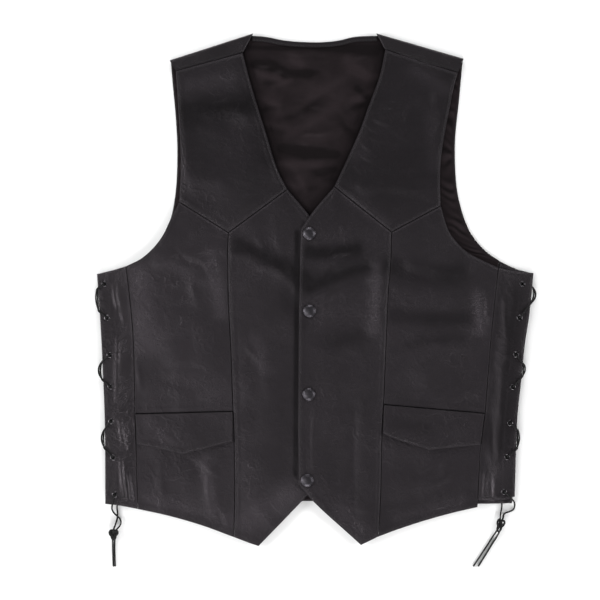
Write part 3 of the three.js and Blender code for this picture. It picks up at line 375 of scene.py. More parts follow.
FLAP_CREASES = creases(
    # Left
    (-187.3, -167.8, -164.2, -184.1, 3.6, 0.6, 1), (-167.1, -174.5, -145, -186.1, 3.6, -0.5, 1),
    (-128.7, -164, -106.6, -162.1, 4, -0.4, 1),
    # Right
    (101.7, -151.5, 130.5, -157.3, 5, -0.4, 1), (144.9, -162.1, 173.7, -165.9, 5, 0.35, 1),
)

STRIP_CREASES = creases(
    # Left, from the top down
    (-241.5, 4.7, -234.4, -33.9, 2.6, 0.75, 1), (-241, -17.1, -228.5, -36.3, 2.6, -0.4, 1),
    (-236.5, -54.7, -237.4, -132.7, 2.8, 0.55, 1), (-234.9, -156.7, -228, -189.9, 2.6, 0.7, 1),
    (-233.4, -200.7, -227.5, -251.3, 2.3, 0.85, 1), (-229.7, -216.8, -224.2, -248.3, 2, -0.5, 0),
    (-224.7, -222.5, -219.9, -255.2, 2.2, 0.8, 0),
    # Right, from the top down
    (227.5, -7.5, 229.4, -60.3, 2.6, 0.2, 1), (227.5, -82.4, 234.9, -75.7, 2.8, 0.25, 1),
    (223.7, -93.9, 219.8, -151.5, 2.8, 0.16, -1), (213.1, -161.1, 215, -204.3, 2.8, -0.2, 1),
    (204.4, -218.7, 202.5, -250.4, 2.2, 0.5, 0), (210.2, -221.6, 212.1, -250.4, 2.2, -0.5, 0),
    (215.9, -226.5, 214, -247.5, 2.2, 0.35, 0),
)

# Painted light and shade: where the hide's colour is made lighter or darker to stand in for highlights and
# shadows, in the same form
FRONT_PAINTED_LIGHT = creases(
    # Yokes, the painted shadow beside the lap, and left centre
    (-155.3, 210.7, -80.3, 222.7, 16, -0.7), (-22, 68.7, -23.8, -222.3, 2.4, -1.3),
    (-150.3, 246.7, -104.3, 252.7, 12, 0.5), (120.7, 262.7, 155.7, 240.7, 9, 0.5),
    (36.7, 112.7, 80.7, 80.7, 7, 0.45), (-66.3, 185.7, -57.3, 158.7, 13, -0.3),
    (-150.3, 128.7, -93.3, 104.7, 12, 0.3), (-90.3, 52.7, -16.3, 14.7, 12, -1, -2),
    (-36.3, -12.3, -16.3, -42.3, 10, -0.3),
    # Right snap, waist, centre, side and flap
    (-6.3, 45.7, 48.7, 48.7, 9, -1.1, 2), (-6.3, 3.7, 62.7, 28.7, 9, -0.9, -3),
    (12.7, -62.3, 50.7, -54.3, 12, -0.45), (90.7, 27.7, 170.7, 17.7, 14, -0.7, 4),
    (95.7, -30.3, 180.7, -34.3, 10, -0.5, 2), (110.7, -66.3, 175.7, -58.3, 6, -0.3, -2),
    (95.7, -160.3, 130.7, -166.3, 9, -0.3),
    # Left side, underarm, centre, lower front, hem, tip and flap
    (-213.3, 17.7, -204.3, -64.3, 15, 0.95), (-196.3, -66.3, -132.3, -122.3, 26, 0.4),
    (-125.3, 41.7, -114.1, -28.3, 9, 0.8), (-192.3, 40.7, -116.3, 0.7, 6, 0.4, 3),
    (-72.3, -60.3, -60.3, -96.3, 8, 0.6), (-134.3, -206.3, -122.3, -262.3, 7, 1),
    (-198.3, -250.3, -102.3, -278.3, 10, 0.6), (-78.3, -280.3, -30.3, -246.3, 16, 0.9),
    (-86.3, -216.3, -72.3, -262.3, 12, 0.4), (-202.3, -156.3, -176.3, -180.3, 9, 0.6),
    # Right yoke, side, puckers, hem and tip
    (55.7, 226.7, 47.7, 161.7, 10, 0.35), (137.7, 207.7, 143.7, 151.7, 10, 0.35),
    (194.7, -8.3, 198.7, -48.3, 8, 0.9), (73.7, 28.7, 70.7, -48.3, 6, 0.9),
    (97.7, -272.3, 176.7, -254.3, 7, 0.3), (54.7, -292.3, 30.7, -266.3, 12, 0.35),
    # Strips
    (-251.3, -6.3, -246.3, -246.3, 6, -0.5), (236.7, -6.3, 221.7, -186.3, 15, -0.7),
    (216.7, -218.3, 208.7, -246.3, 8, 0.4),
)

# The lining's creases; they also paint its light and shade, ridges lighter and troughs darker
LINING_CREASES = creases(
    # Collar
    (-79.7, 269.9, -47.1, 272.8, 4, -0.5, -1), (-47.1, 271.9, -30.8, 258.4, 4, -0.5, 1),
    (-30.8, 258.4, 1.9, 261.3, 4.5, -0.9, -1), (-71.1, 262.3, -34.6, 253.6, 5, 0.4, 2),
    (38.3, 263.2, 76.7, 256.5, 4, 0.7, 2), (44.1, 226.7, 77.7, 239.2, 4.5, 0.9, -2),
    (38.3, 215.2, 68.1, 223.9, 4, -0.8, -1),
    # Left of the neck
    (-67.3, 232.5, -42.3, 221.9, 4, 0.8, 2), (-65.3, 215.2, -39.4, 219.1, 4, -0.8, -2),
    (-59.6, 200.8, -32.7, 195.1, 4.5, 0.8, 2),
    # Long diagonals
    (-30.8, 188.3, 29.7, 227.7, 6, 0.8, 4), (-24.1, 213.3, 35.5, 253.6, 6, 0.7, -4),
    (-42.3, 203.7, 5.7, 229.6, 5, -0.8, 3),
    # Low in the neck
    (-42.3, 171.1, 27.8, 163.4, 4, -1.1, -2), (-40.4, 159.5, 5.7, 157.6, 5, -0.3, 1),
    (-44.2, 149.9, 16.3, 151.9, 5, 0.4, 1), (-1, 142.3, 21.1, 132.7, 5, -1, 1),
    (-36.5, 130.7, -21.2, 122.1, 4, 0.8, 0), (-17.3, 118.3, 0.9, 122.1, 4, -0.7, 0),
    # Middle and right ripples
    (-13.5, 181.6, 29.7, 189.3, 5, 0.7, 2), (29.7, 203.7, 48.9, 184.5, 4.5, -0.7, 1),
)

# Painted light and shade on the lining: shadows and highlights of its folds, in the same form
LINING_PAINTED_LIGHT = creases(
    # Collar
    (6.9, 291.5, 72.9, 285.3, 5, -0.9), (-72, 270.9, -53.1, 268.5, 4.5, -1.2),
    (-53.1, 268.5, -36.3, 260.1, 4.5, -1.2), (-36.3, 260.1, -7.5, 258.9, 4.5, -1.3),
    (-28.3, 279.7, -18.3, 271.7, 6, 1), (38.5, 275.3, 59.7, 256.5, 7, 0.9),
    # Under the collar
    (-62.7, 258.9, -43.5, 254.1, 3, 0.9), (-50.7, 244.5, -29.1, 251.7, 3.2, 0.8),
    (-60.3, 249.3, -49.5, 247.1, 3.5, -0.8), (50.1, 242.1, 60.5, 232.5, 4, -1),
    (45.3, 230.1, 57.7, 227.7, 2.6, 0.9, 1),
    # Middle of the neck
    (-54.3, 234.7, -40.3, 204.7, 7, 0.4), (-52.5, 194.1, -38.7, 189.3, 4.5, -0.7),
    (-14.3, 240.7, 35.7, 236.7, 10, 0.4),
    # Low in the neck
    (-39.1, 168.9, -12.3, 163.5, 4.5, -1.2), (-12.3, 163.5, 24.1, 161.7, 4.5, -1.1),
    (-39.5, 152.7, 4.9, 150.9, 4.5, 0.7), (6.5, 143.7, 22.1, 143.7, 4.5, -0.9),
    (-19.5, 134.1, -12.3, 119.3, 4.5, 0.9), (4.5, 134.1, 15.3, 135.5, 2.8, 0.6),
)


def smooth(low: float, high: float, value: Array) -> Array:
    """Smoothstep: 0 below low, 1 above high, and 3t^2 - 2t^3 between."""
    t = np.clip((value - low) / (high - low), 0.0, 1.0)
    return t * t * (3 - 2 * t)


def spline(rows: Array, per_span: int) -> Array:
    """Points on a centripetal Catmull-Rom curve through all the rows.

    Each span is the cubic with the rows as ends and tangents from the neighbours' divided
    differences, over knots spaced by the square root of the distances.

    Args:
        rows: the points, one a row.
        per_span: how many steps each span is cut into.

    Returns:
        The curve's points, with the first and last row as its ends.
    """
    if len(rows) == 2:
        t = np.linspace(0.0, 1.0, per_span + 1)[:, None]
        return rows[0] * (1 - t) + rows[1] * t
    first = 2 * rows[0] - rows[1]
    last = 2 * rows[-1] - rows[-2]
    p = np.vstack([first, rows, last])
    gap = np.maximum(np.linalg.norm(np.diff(p, axis=0), axis=1) ** 0.5, 1e-4)
    d0, d1, d2 = (g[:, None] for g in (gap[:-2], gap[1:-1], gap[2:]))
    p0, p1, p2, p3 = p[:-3], p[1:-2], p[2:-1], p[3:]
    m1 = ((p1 - p0) / d0 - (p2 - p0) / (d0 + d1) + (p2 - p1) / d1) * d1
    m2 = ((p2 - p1) / d1 - (p3 - p1) / (d1 + d2) + (p3 - p2) / d2) * d1
    t = (np.arange(per_span) / per_span)[None, :, None]
    c0, c1 = p1[:, None], m1[:, None]
    c2 = (-3 * p1 + 3 * p2 - 2 * m1 - m2)[:, None]
    c3 = (2 * p1 - 2 * p2 + m1 + m2)[:, None]
    body = c0 + c1 * t + c2 * t**2 + c3 * t**3
    return np.vstack([body.reshape(-1, rows.shape[1]), rows[-1]])


SEAM_STEPS = 40


def seam(rows: Rows) -> Array:
    """A seam's curve as a fine run of points."""
    return spline(np.array(rows, float), SEAM_STEPS)


def lengths(points: Array) -> Array:
    """The distance along a run of points up to each of them."""
    steps = np.linalg.norm(np.diff(points, axis=0), axis=1)
    return np.concatenate([[0.0], np.cumsum(steps)])


def along(points: Array, share: Array) -> Array:
    """Points at shares of the length of a run, for an array of shares of any shape."""
    run = lengths(points)
    at = np.clip(share, 0.0, 1.0).ravel() * run[-1]
    columns = [np.interp(at, run, points[:, k]) for k in range(points.shape[1])]
    return np.stack(columns, axis=1).reshape(*share.shape, points.shape[1])


def even(points: Array, step: float) -> Array:
    """The same run with points at an even step."""
    count = max(2, int(round(lengths(points)[-1] / step)))
    return along(points, np.linspace(0.0, 1.0, count + 1))


@dataclass(frozen=True)
class Run:
    """An edge of a cut piece: seam curves end to end, and the share of the edge where each ends."""

    curves: tuple[Array, ...]
    ends: tuple[float, ...] = (1.0,)

    def at(self, t: Array) -> Array:
        """The edge's points at an array of shares."""
        out = np.zeros((*t.shape, 2))
        start = 0.0
        for curve, end in zip(self.curves, self.ends):
            here = (t >= start) if start else np.ones(t.shape, bool)
            out[here] = along(curve, (t[here] - start) / (end - start))
            start = end
        return out

    def breaks(self) -> tuple[float, ...]:
        """The shares at which one curve gives way to the next."""
        return self.ends[:-1]


def crease_height(table: tuple[Crease, ...], x: Array, y: Array, taper: float = 0.0) -> Array:
    """What a table of creases adds to the height at each point.

    Each adds height * exp(-(d / width)^2), d being the distance to its bowed run, and falls away
    past its ends. With a taper, the height also dies towards both ends by a sine.

    Args:
        table: the creases.
        x: places across, in millimetres.
        y: places along.
        taper: the share of the height that the ends lose.

    Returns:
        The added height in millimetres.
    """
    total = np.zeros_like(x)
    for c in table:
        dx, dy = c.x2 - c.x1, c.y2 - c.y1
        run = math.hypot(dx, dy)
        t = np.clip(((x - c.x1) * dx + (y - c.y1) * dy) / run**2, 0.0, 1.0)
        side = ((x - c.x1) * dy - (y - c.y1) * dx) / run - c.bow * 4 * t * (1 - t)
        past = ((x - c.x1) * dx + (y - c.y1) * dy) / run - t * run
        fade = 1 - taper * (1 - np.sin(math.pi * t))
        total += c.height * fade * np.exp(-(side**2 + past**2) / c.width**2)
    return total


SINES = 14


def undulation(
    x: Array, y: Array, seed: int, reach: float = 0.32, waves: tuple[float, float] = (22.0, 64.0)
) -> Array:
    """The slow, uneven swell of a hide: the mean of sines of random wavelength and direction.

    Args:
        x: places across, in millimetres.
        y: places along.
        seed: picks the sines.
        reach: the swell's usual height.
        waves: the shortest and the longest wavelength.

    Returns:
        The added height in millimetres.
    """
    rng = np.random.default_rng(seed)
    total = np.zeros_like(x)
    for _ in range(SINES):
        wave = rng.uniform(*waves)
        angle, phase = rng.uniform(0, math.tau, 2)
        total += np.sin((x * math.cos(angle) + y * math.sin(angle)) * math.tau / wave + phase)
    return reach * total / math.sqrt(SINES)


COARSE_LINES = 41
LEAN_MOST = 1.7
EDGE_FADE = 0.12
EDGE_LINES = np.array([0.0, 0.12, 0.35, 0.7, 1.15, 1.7, 2.3, 2.8, 3.3, 4.0, 5.2, 6.6, 8.2])


@dataclass
class Patch:
    """A four-sided piece of cloth, worked out on a grid from its four edges.

    A point is the Coons blend of the edges: what the top and bottom give, plus what the outer and
    inner give, less the corners. Grid lines crowd near each edge at set distances from it.
    """

    top: Run
    bottom: Run
    outer: Run
    inner: Run
    step: float = 2.0
    inset: float = 0.25
    u: Array = field(init=False)
    v: Array = field(init=False)
    x: Array = field(init=False)
    y: Array = field(init=False)
    away: dict[Edge, Array] = field(init=False)

    def __post_init__(self) -> None:
        """Works out the grid."""
        coarse = np.linspace(0.0, 1.0, COARSE_LINES)
        uu, vv = np.meshgrid(coarse, coarse)
        grid = self.blend(uu, vv)
        wide = np.linalg.norm(np.diff(grid, axis=1), axis=2).sum(axis=1)
        high = np.linalg.norm(np.diff(grid, axis=0), axis=2).sum(axis=0)
        du, dv = np.gradient(grid, axis=1), np.gradient(grid, axis=0)
        cross = np.abs(du[..., 0] * dv[..., 1] - du[..., 1] * dv[..., 0])
        stretch = np.linalg.norm(du, axis=2) * np.linalg.norm(dv, axis=2)
        lean = np.clip(stretch / np.maximum(cross, 1e-6), 1.0, LEAN_MOST)
        qu = self.knots(float(wide.mean()), (*self.top.breaks(), *self.bottom.breaks()))
        qv = self.knots(float(high.mean()), (*self.outer.breaks(), *self.inner.breaks()))
        at_u, at_v = np.meshgrid(qu, qv)
        row = lambda values, share: np.interp(share, coarse, values)
        width, height = row(wide, at_v), row(high, at_u)
        leans = {
            Edge.TOP: row(lean[0], at_u), Edge.BOTTOM: row(lean[-1], at_u),
            Edge.OUTER: row(lean[:, 0], at_v), Edge.INNER: row(lean[:, -1], at_v),
        }
        self.u = self.places(at_u, width, leans[Edge.OUTER], leans[Edge.INNER], float(wide.mean()))
        self.v = self.places(at_v, height, leans[Edge.TOP], leans[Edge.BOTTOM], float(high.mean()))
        self.away = {
            Edge.TOP: self.v * height / leans[Edge.TOP] - self.inset,
            Edge.BOTTOM: (1 - self.v) * height / leans[Edge.BOTTOM] - self.inset,
            Edge.OUTER: self.u * width / leans[Edge.OUTER] - self.inset,
            Edge.INNER: (1 - self.u) * width / leans[Edge.INNER] - self.inset,
        }
        points = self.blend(self.u, self.v)
        self.x, self.y = points[..., 0], points[..., 1]

    def blend(self, u: Array, v: Array) -> Array:
        """The Coons blend of the edges at arrays of shares."""
        corner = lambda run, t: run.at(np.full((1,), t))[0]
        u1, v1 = u[..., None], v[..., None]
        return (
            (1 - v1) * self.top.at(u) + v1 * self.bottom.at(u)
            + (1 - u1) * self.outer.at(v) + u1 * self.inner.at(v)
            - (1 - u1) * (1 - v1) * corner(self.top, 0.0) - u1 * (1 - v1) * corner(self.top, 1.0)
            - (1 - u1) * v1 * corner(self.bottom, 0.0) - u1 * v1 * corner(self.bottom, 1.0)
        )

    def near(self, size: float) -> Array:
        """Shares of a line of that length at which the crowded lines stand."""
        return (EDGE_LINES[EDGE_LINES < 0.3 * size] + self.inset) / size

    def knots(self, size: float, breaks: tuple[float, ...]) -> Array:
        """Shares of a mean-sized line: edge distances at both ends, even steps and the breaks between."""
        near = self.near(size)
        stops = [float(near[-1]), *sorted(set(breaks)), float(1 - near[-1])]
        middle = [
            np.linspace(a, b, max(2, int(round((b - a) * size / self.step)) + 1))
            for a, b in zip(stops[:-1], stops[1:])
        ]
        return np.unique(np.round(np.concatenate([near, *middle, 1 - near]), 7))

    def places(self, q: Array, size: Array, start: Array, end: Array, mean: float) -> Array:
        """Moves the crowded lines so that they keep their distance where a line is short or leans."""
        reach = float(self.near(mean)[-1])
        near = q * mean / size * start
        far = 1 - (1 - q) * mean / size * end
        low, high = reach * mean / size * start, 1 - reach * mean / size * end
        keep = [np.clip(inside / EDGE_FADE, 0, 1) for inside in (q - reach, 1 - reach - q)]
        shift = (low - reach) * (1 - keep[0]) + (high - (1 - reach)) * (1 - keep[1])
        return np.where(q <= reach, near, np.where(q >= 1 - reach, far, q + shift))

    def spread_out(self, by: float) -> Array:
        """The grid's places with its border moved outwards, so that seams close under the rounding."""
        grid = np.stack([self.x, self.y], axis=-1)
        moved = grid.copy()
        borders = np.s_[0], np.s_[-1], np.s_[:, 0], np.s_[:, -1]
        beside = np.s_[1], np.s_[-2], np.s_[:, 1], np.s_[:, -2]
        for border, within in zip(borders, beside):
            way = grid[border] - grid[within]
            moved[border] += way / np.maximum(np.linalg.norm(way, axis=-1, keepdims=True), 1e-6) * by
        return moved

    def nearest(self) -> Array:
        """The distance of each grid point from the nearest edge."""
        return np.minimum.reduce([self.away[e] for e in Edge])

    def area(self) -> float:
        """The flat area in square metres, by the shoelace sum over the grid's cells."""
        x, y = self.x * MM, self.y * MM
        ax, ay = x[1:, 1:] - x[:-1, :-1], y[1:, 1:] - y[:-1, :-1]
        bx, by = x[1:, :-1] - x[:-1, 1:], y[1:, :-1] - y[:-1, 1:]
        return float(np.abs(ax * by - ay * bx).sum() / 2)

    def extent(self) -> tuple[float, float]:
        """The width and length of the rectangle that the piece is cut from, in metres."""
        return float(np.ptp(self.x)) * MM, float(np.ptp(self.y)) * MM

    def line(self, edge: Edge, away: float, heights: Array) -> Array:
        """The run on the surface at a set distance from an edge.

        Args:
            edge: the edge that the run follows.
            away: its distance from the edge, in millimetres.
            heights: the surface's heights on the grid.

        Returns:
            The run's points, in millimetres.
        """
        across = edge in (Edge.TOP, Edge.BOTTOM)
        away_mean = self.away[edge].mean(axis=1 if across else 0)
        k = int(np.argmin(np.abs(away_mean - away)))
        pick = np.s_[k, :] if across else np.s_[:, k]
        return np.stack([self.x[pick], self.y[pick], heights[pick]], axis=1)


def quads(rows: int, columns: int) -> Array:
    """The corner numbers of a grid's cells."""
    n = np.arange(rows * columns).reshape(rows, columns)
    return np.stack([n[:-1, :-1], n[:-1, 1:], n[1:, 1:], n[1:, :-1]], axis=-1).reshape(-1, 4)


def rims(cells: Array) -> Array:
    """The edges that only one cell has, in the cell's own direction."""
    pairs = np.concatenate([cells[:, [k, (k + 1) % 4]] for k in range(4)])
    pairs = pairs[pairs[:, 0] != pairs[:, 1]]
    key = np.sort(pairs, axis=1)
    _, first, count = np.unique(key, axis=0, return_index=True, return_counts=True)
    return pairs[first[count == 1]]


def closed(face: Array, back: Array, cells: Array) -> tuple[Array, Array]:
    """Closes a sheet into a shell: its face, its back turned over, and a rim round its open edges.

    Args:
        face: points of the face, one a row.
        back: points of the back, in the same order.
        cells: corner numbers of the sheet's cells, counter-clockwise seen from outside.

    Returns:
        The shell's points and its faces.
    """
    n = len(face)
    rim = rims(cells)
    side = np.stack([rim[:, 1], rim[:, 0], rim[:, 0] + n, rim[:, 1] + n], axis=1)
    return np.vstack([face, back]), np.vstack([cells, cells[:, ::-1] + n, side])


def facing_up(points: Array, cells: Array) -> Array:
    """The cells turned, if they need it, so that they face up."""
    a, b, d = (points[cells[:, k]] for k in (0, 1, 3))
    turn = ((b[:, 0] - a[:, 0]) * (d[:, 1] - a[:, 1]) - (b[:, 1] - a[:, 1]) * (d[:, 0] - a[:, 0])).sum()
    return cells if turn > 0 else cells[:, ::-1]


def tube(path: Array, radius: float, sides: int, loop: bool = False) -> tuple[Array, Array, Array]:
    """A round tube along a path: rings of centre + radius * (cos a * n + sin a * b).

    The normal n is carried from ring to ring without twist, and b is the tangent's cross with it.

    Args:
        path: the centreline's points.
        radius: its radius.
        sides: how many points a ring has.
        loop: whether the last ring joins the first.

    Returns:
        The points, the faces, and for each point its place (distance along, share round).
    """
    if loop:
        tangent = np.roll(path, -1, axis=0) - np.roll(path, 1, axis=0)
    else:
        tangent = np.gradient(path, axis=0)
    tangent /= np.maximum(np.linalg.norm(tangent, axis=1, keepdims=True), 1e-12)
    normal = np.zeros_like(path)
    start = np.cross(tangent[0], [0.0, 0.0, 1.0])
    if np.linalg.norm(start) < 1e-3:
        start = np.cross(tangent[0], [1.0, 0.0, 0.0])
    normal[0] = start / np.linalg.norm(start)
    for k in range(1, len(path)):
        carried = normal[k - 1] - tangent[k] * (normal[k - 1] @ tangent[k])
        normal[k] = carried / np.linalg.norm(carried)
    angle = np.arange(sides) * math.tau / sides
    cos, sin = (wave(angle)[None, :, None] for wave in (np.cos, np.sin))
    ring = cos * normal[:, None] + sin * np.cross(tangent, normal)[:, None]
    points = (path[:, None] + radius * ring).reshape(-1, 3)
    n = np.arange(len(path) * sides).reshape(len(path), sides)
    nxt = np.roll(n, -1, axis=1)
    if loop:
        after, after_next = np.roll(n, -1, axis=0), np.roll(nxt, -1, axis=0)
        cells = np.stack([n, nxt, after_next, after], axis=-1).reshape(-1, 4)
    else:
        cells = np.stack([n[:-1], nxt[:-1], nxt[1:], n[1:]], axis=-1).reshape(-1, 4)
        heads = np.vstack([path[0], path[-1]])
        points = np.vstack([points, heads])
        low, high = len(points) - 2, len(points) - 1
        cap = lambda a, b, c: np.stack([a, b, np.full_like(a, c), np.full_like(a, c)], axis=1)
        cells = np.vstack([cells, cap(nxt[0], n[0], low), cap(n[-1], nxt[-1], high)])
    run = lengths(path)
    place = np.stack([np.repeat(run, sides), np.tile(angle / math.tau, len(path))], axis=1)
    if not loop:
        place = np.vstack([place, [run[0], 0.5], [run[-1], 0.5]])
    return points, cells, place


def turned(profile: Rows, centres: Array, segments: int, flip: bool = False) -> tuple[Array, Array]:
    """Solids of revolution: (r cos a, r sin a, z) for each profile point, at each centre.

    Args:
        profile: radius and height of each point, from the axis or once round a ring's section.
        centres: where the copies stand, one a row.
        segments: how many points a turn has.
        flip: turns the shape upside down.

    Returns:
        The points and the faces of all copies.
    """
    rz = np.array(profile, float)
    angle = np.arange(segments) * math.tau / segments
    shape = np.stack([
        rz[:, 0, None] * np.cos(angle), rz[:, 0, None] * np.sin(angle) * (-1 if flip else 1),
        np.broadcast_to(rz[:, 1, None] * (-1 if flip else 1), (len(rz), segments)),
    ], axis=-1).reshape(-1, 3)
    n = np.arange(len(rz) * segments).reshape(len(rz), segments)
    nxt = np.roll(n, -1, axis=1)
    cells = np.stack([n[:-1], nxt[:-1], nxt[1:], n[1:]], axis=-1).reshape(-1, 4)
    points = (centres[:, None] + shape[None]).reshape(-1, 3)
    faces = (cells[None] + (np.arange(len(centres)) * len(shape))[:, None, None]).reshape(-1, 4)
    return points, faces


def stitches(run: Array, pitch: float = 3.3, long: float = 2.5, wide: float = 0.34) -> tuple[Array, Array]:
    """A row of sewn stitches: small rounded bars laid along a run, sunk a little at both ends.

    Each bar is a ring section carried along its length, its size falling to the ends by a cosine.

    Args:
        run: the surface points that the row follows, in millimetres.
        pitch: from the middle of one stitch to the next.
        long: a stitch's length.
        wide: its half width.

    Returns:
        The points and the faces.
    """
    line = even(run, pitch)
    middle = (line[1:] + line[:-1]) / 2
    way = line[1:] - line[:-1]
    way /= np.maximum(np.linalg.norm(way, axis=1, keepdims=True), 1e-9)
    side = np.stack([-way[:, 1], way[:, 0], np.zeros(len(way))], axis=1)
    up = np.cross(way, side)
    stations = np.array([-1.0, -0.8, 0.0, 0.8, 1.0])
    size = np.array([0.25, 0.8, 1.0, 0.8, 0.25])
    sink = np.array([-0.34, -0.06, 0.1, -0.06, -0.34])
    angle = np.arange(6) * math.tau / 6
    px = np.repeat(stations * long / 2, 6)
    py = (wide * size[:, None] * np.cos(angle)).ravel()
    pz = (wide * 0.8 * size[:, None] * np.sin(angle) + sink[:, None]).ravel()
    points = middle[:, None]
    for share, axis in ((px, way), (py, side), (pz, up)):
        points = points + share[:, None] * axis[:, None]
    n = np.arange(30).reshape(5, 6)
    nxt = np.roll(n, -1, axis=1)
    body = np.stack([n[:-1], n[1:], nxt[1:], nxt[:-1]], axis=-1).reshape(-1, 4)
    ends = np.array([[0, 1, 2, 3], [3, 4, 5, 0], [27, 26, 25, 24], [24, 29, 28, 27]])
    cells = np.vstack([body, ends])
    faces = (cells[None] + (np.arange(len(middle)) * 30)[:, None, None]).reshape(-1, 4)
    return points.reshape(-1, 3), faces


def combined(parts: list[tuple[Array, Array]]) -> tuple[Array, Array]:
    """Several meshes as one."""
    start = np.cumsum([0] + [len(p) for p, _ in parts[:-1]])
    return np.vstack([p for p, _ in parts]), np.vstack([f + s for (_, f), s in zip(parts, start)])


def make_mesh(name: str, points: Array, faces: Array, place: Array | None = None, **marks: Array) -> Object:
    """Puts points in millimetres and faces into a smooth mesh object at the origin.

    Args:
        name: the object's name.
        points: one a row.
        faces: four corners a row; the last corner given twice makes a triangle.
        place: each point's place on the surface, written to a UV map in metres.
        marks: what each point has of "rim", its share in a rolled edge, which the leather paints darker as
            shade, or of "tone", its painted light and shade; each is written to an attribute of its name.

    Returns:
        The new object.
    """
    flat = faces[:, 2] == faces[:, 3]
    corners = np.concatenate([faces[~flat].ravel(), faces[flat][:, :3].ravel()]).astype(np.int32)
    totals = np.concatenate([np.full((~flat).sum(), 4), np.full(flat.sum(), 3)]).astype(np.int32)
    starts = np.concatenate([[0], np.cumsum(totals)[:-1]]).astype(np.int32)
    mesh = bpy.data.meshes.new(name)
    mesh.vertices.add(len(points))
    mesh.vertices.foreach_set("co", (points * MM).astype(np.float32).ravel())
    mesh.loops.add(len(corners))
    mesh.loops.foreach_set("vertex_index", corners)
    mesh.polygons.add(len(totals))
    mesh.polygons.foreach_set("loop_start", starts)
    mesh.polygons.foreach_set("loop_total", totals)
    mesh.polygons.foreach_set("use_smooth", np.ones(len(totals), bool))
    if place is not None:
        layer = mesh.uv_layers.new(name="place")
        layer.data.foreach_set("uv", (place[corners] * [MM, 1.0]).astype(np.float32).ravel())
    for key, values in marks.items():
        mesh.attributes.new(key, "FLOAT", "POINT").data.foreach_set("value", values.astype(np.float32))
    mesh.update(calc_edges=True)
    mesh.validate()
    made = bpy.data.objects.new(name, mesh)
    bpy.context.scene.collection.objects.link(made)
    return made


def settle(made: Object, finish: Material, slot: Slot, *nodes: str) -> Object:
    """Gives a finished piece its material and its body, and hides the CAD nodes that it stands for."""
    made.data.materials.append(finish)
    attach(made, BODY)
    if nodes:
        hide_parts(*nodes)
    made.data.calc_loop_triangles()
    heights = np.empty(len(made.data.vertices) * 3, np.float32)
    made.data.vertices.foreach_get("co", heights)
    low, high = heights[2::3].min() / MM, heights[2::3].max() / MM
    log.info("%s: %d triangles, %.2f to %.2f mm high", made.name, len(made.data.loop_triangles), low, high)
    return made


@dataclass(frozen=True)
class Hem:
    """How one edge of a cloth piece is turned and sewn, in millimetres.

    lift is the thickness of the turned allowance, ledge its width, rows the distances of the
    stitch rows from the edge, span the share of the edge that it covers, and roll the radius of
    the edge's rounding.
    """

    lift: float = 0.45
    ledge: float = 7.0
    rows: tuple[float, ...] = (2.8,)
    span: tuple[float, float] = (0.0, 1.0)
    roll: float = 0.45


CREASE_GAIN = 2.0
ROLL_SHARE = 0.34
SHOULDER_ROLL = 0.9
UNDER_SPREAD = 0.2
LEDGE_FADE = 1.3
STITCH_GROOVE, GROOVE_WIDTH = 0.13, 0.65
PUCKER, PUCKER_WIDTH, PUCKER_TURN = 0.13, 4.0, 0.62
RIM_REACH = 1.1
# A painted highlight along sewn edges: its distance from the edge, its width and its strength
SEAM_LIGHT = (1.6, 0.8, 0.8)
PLAIN = Hem(lift=0.0, rows=())


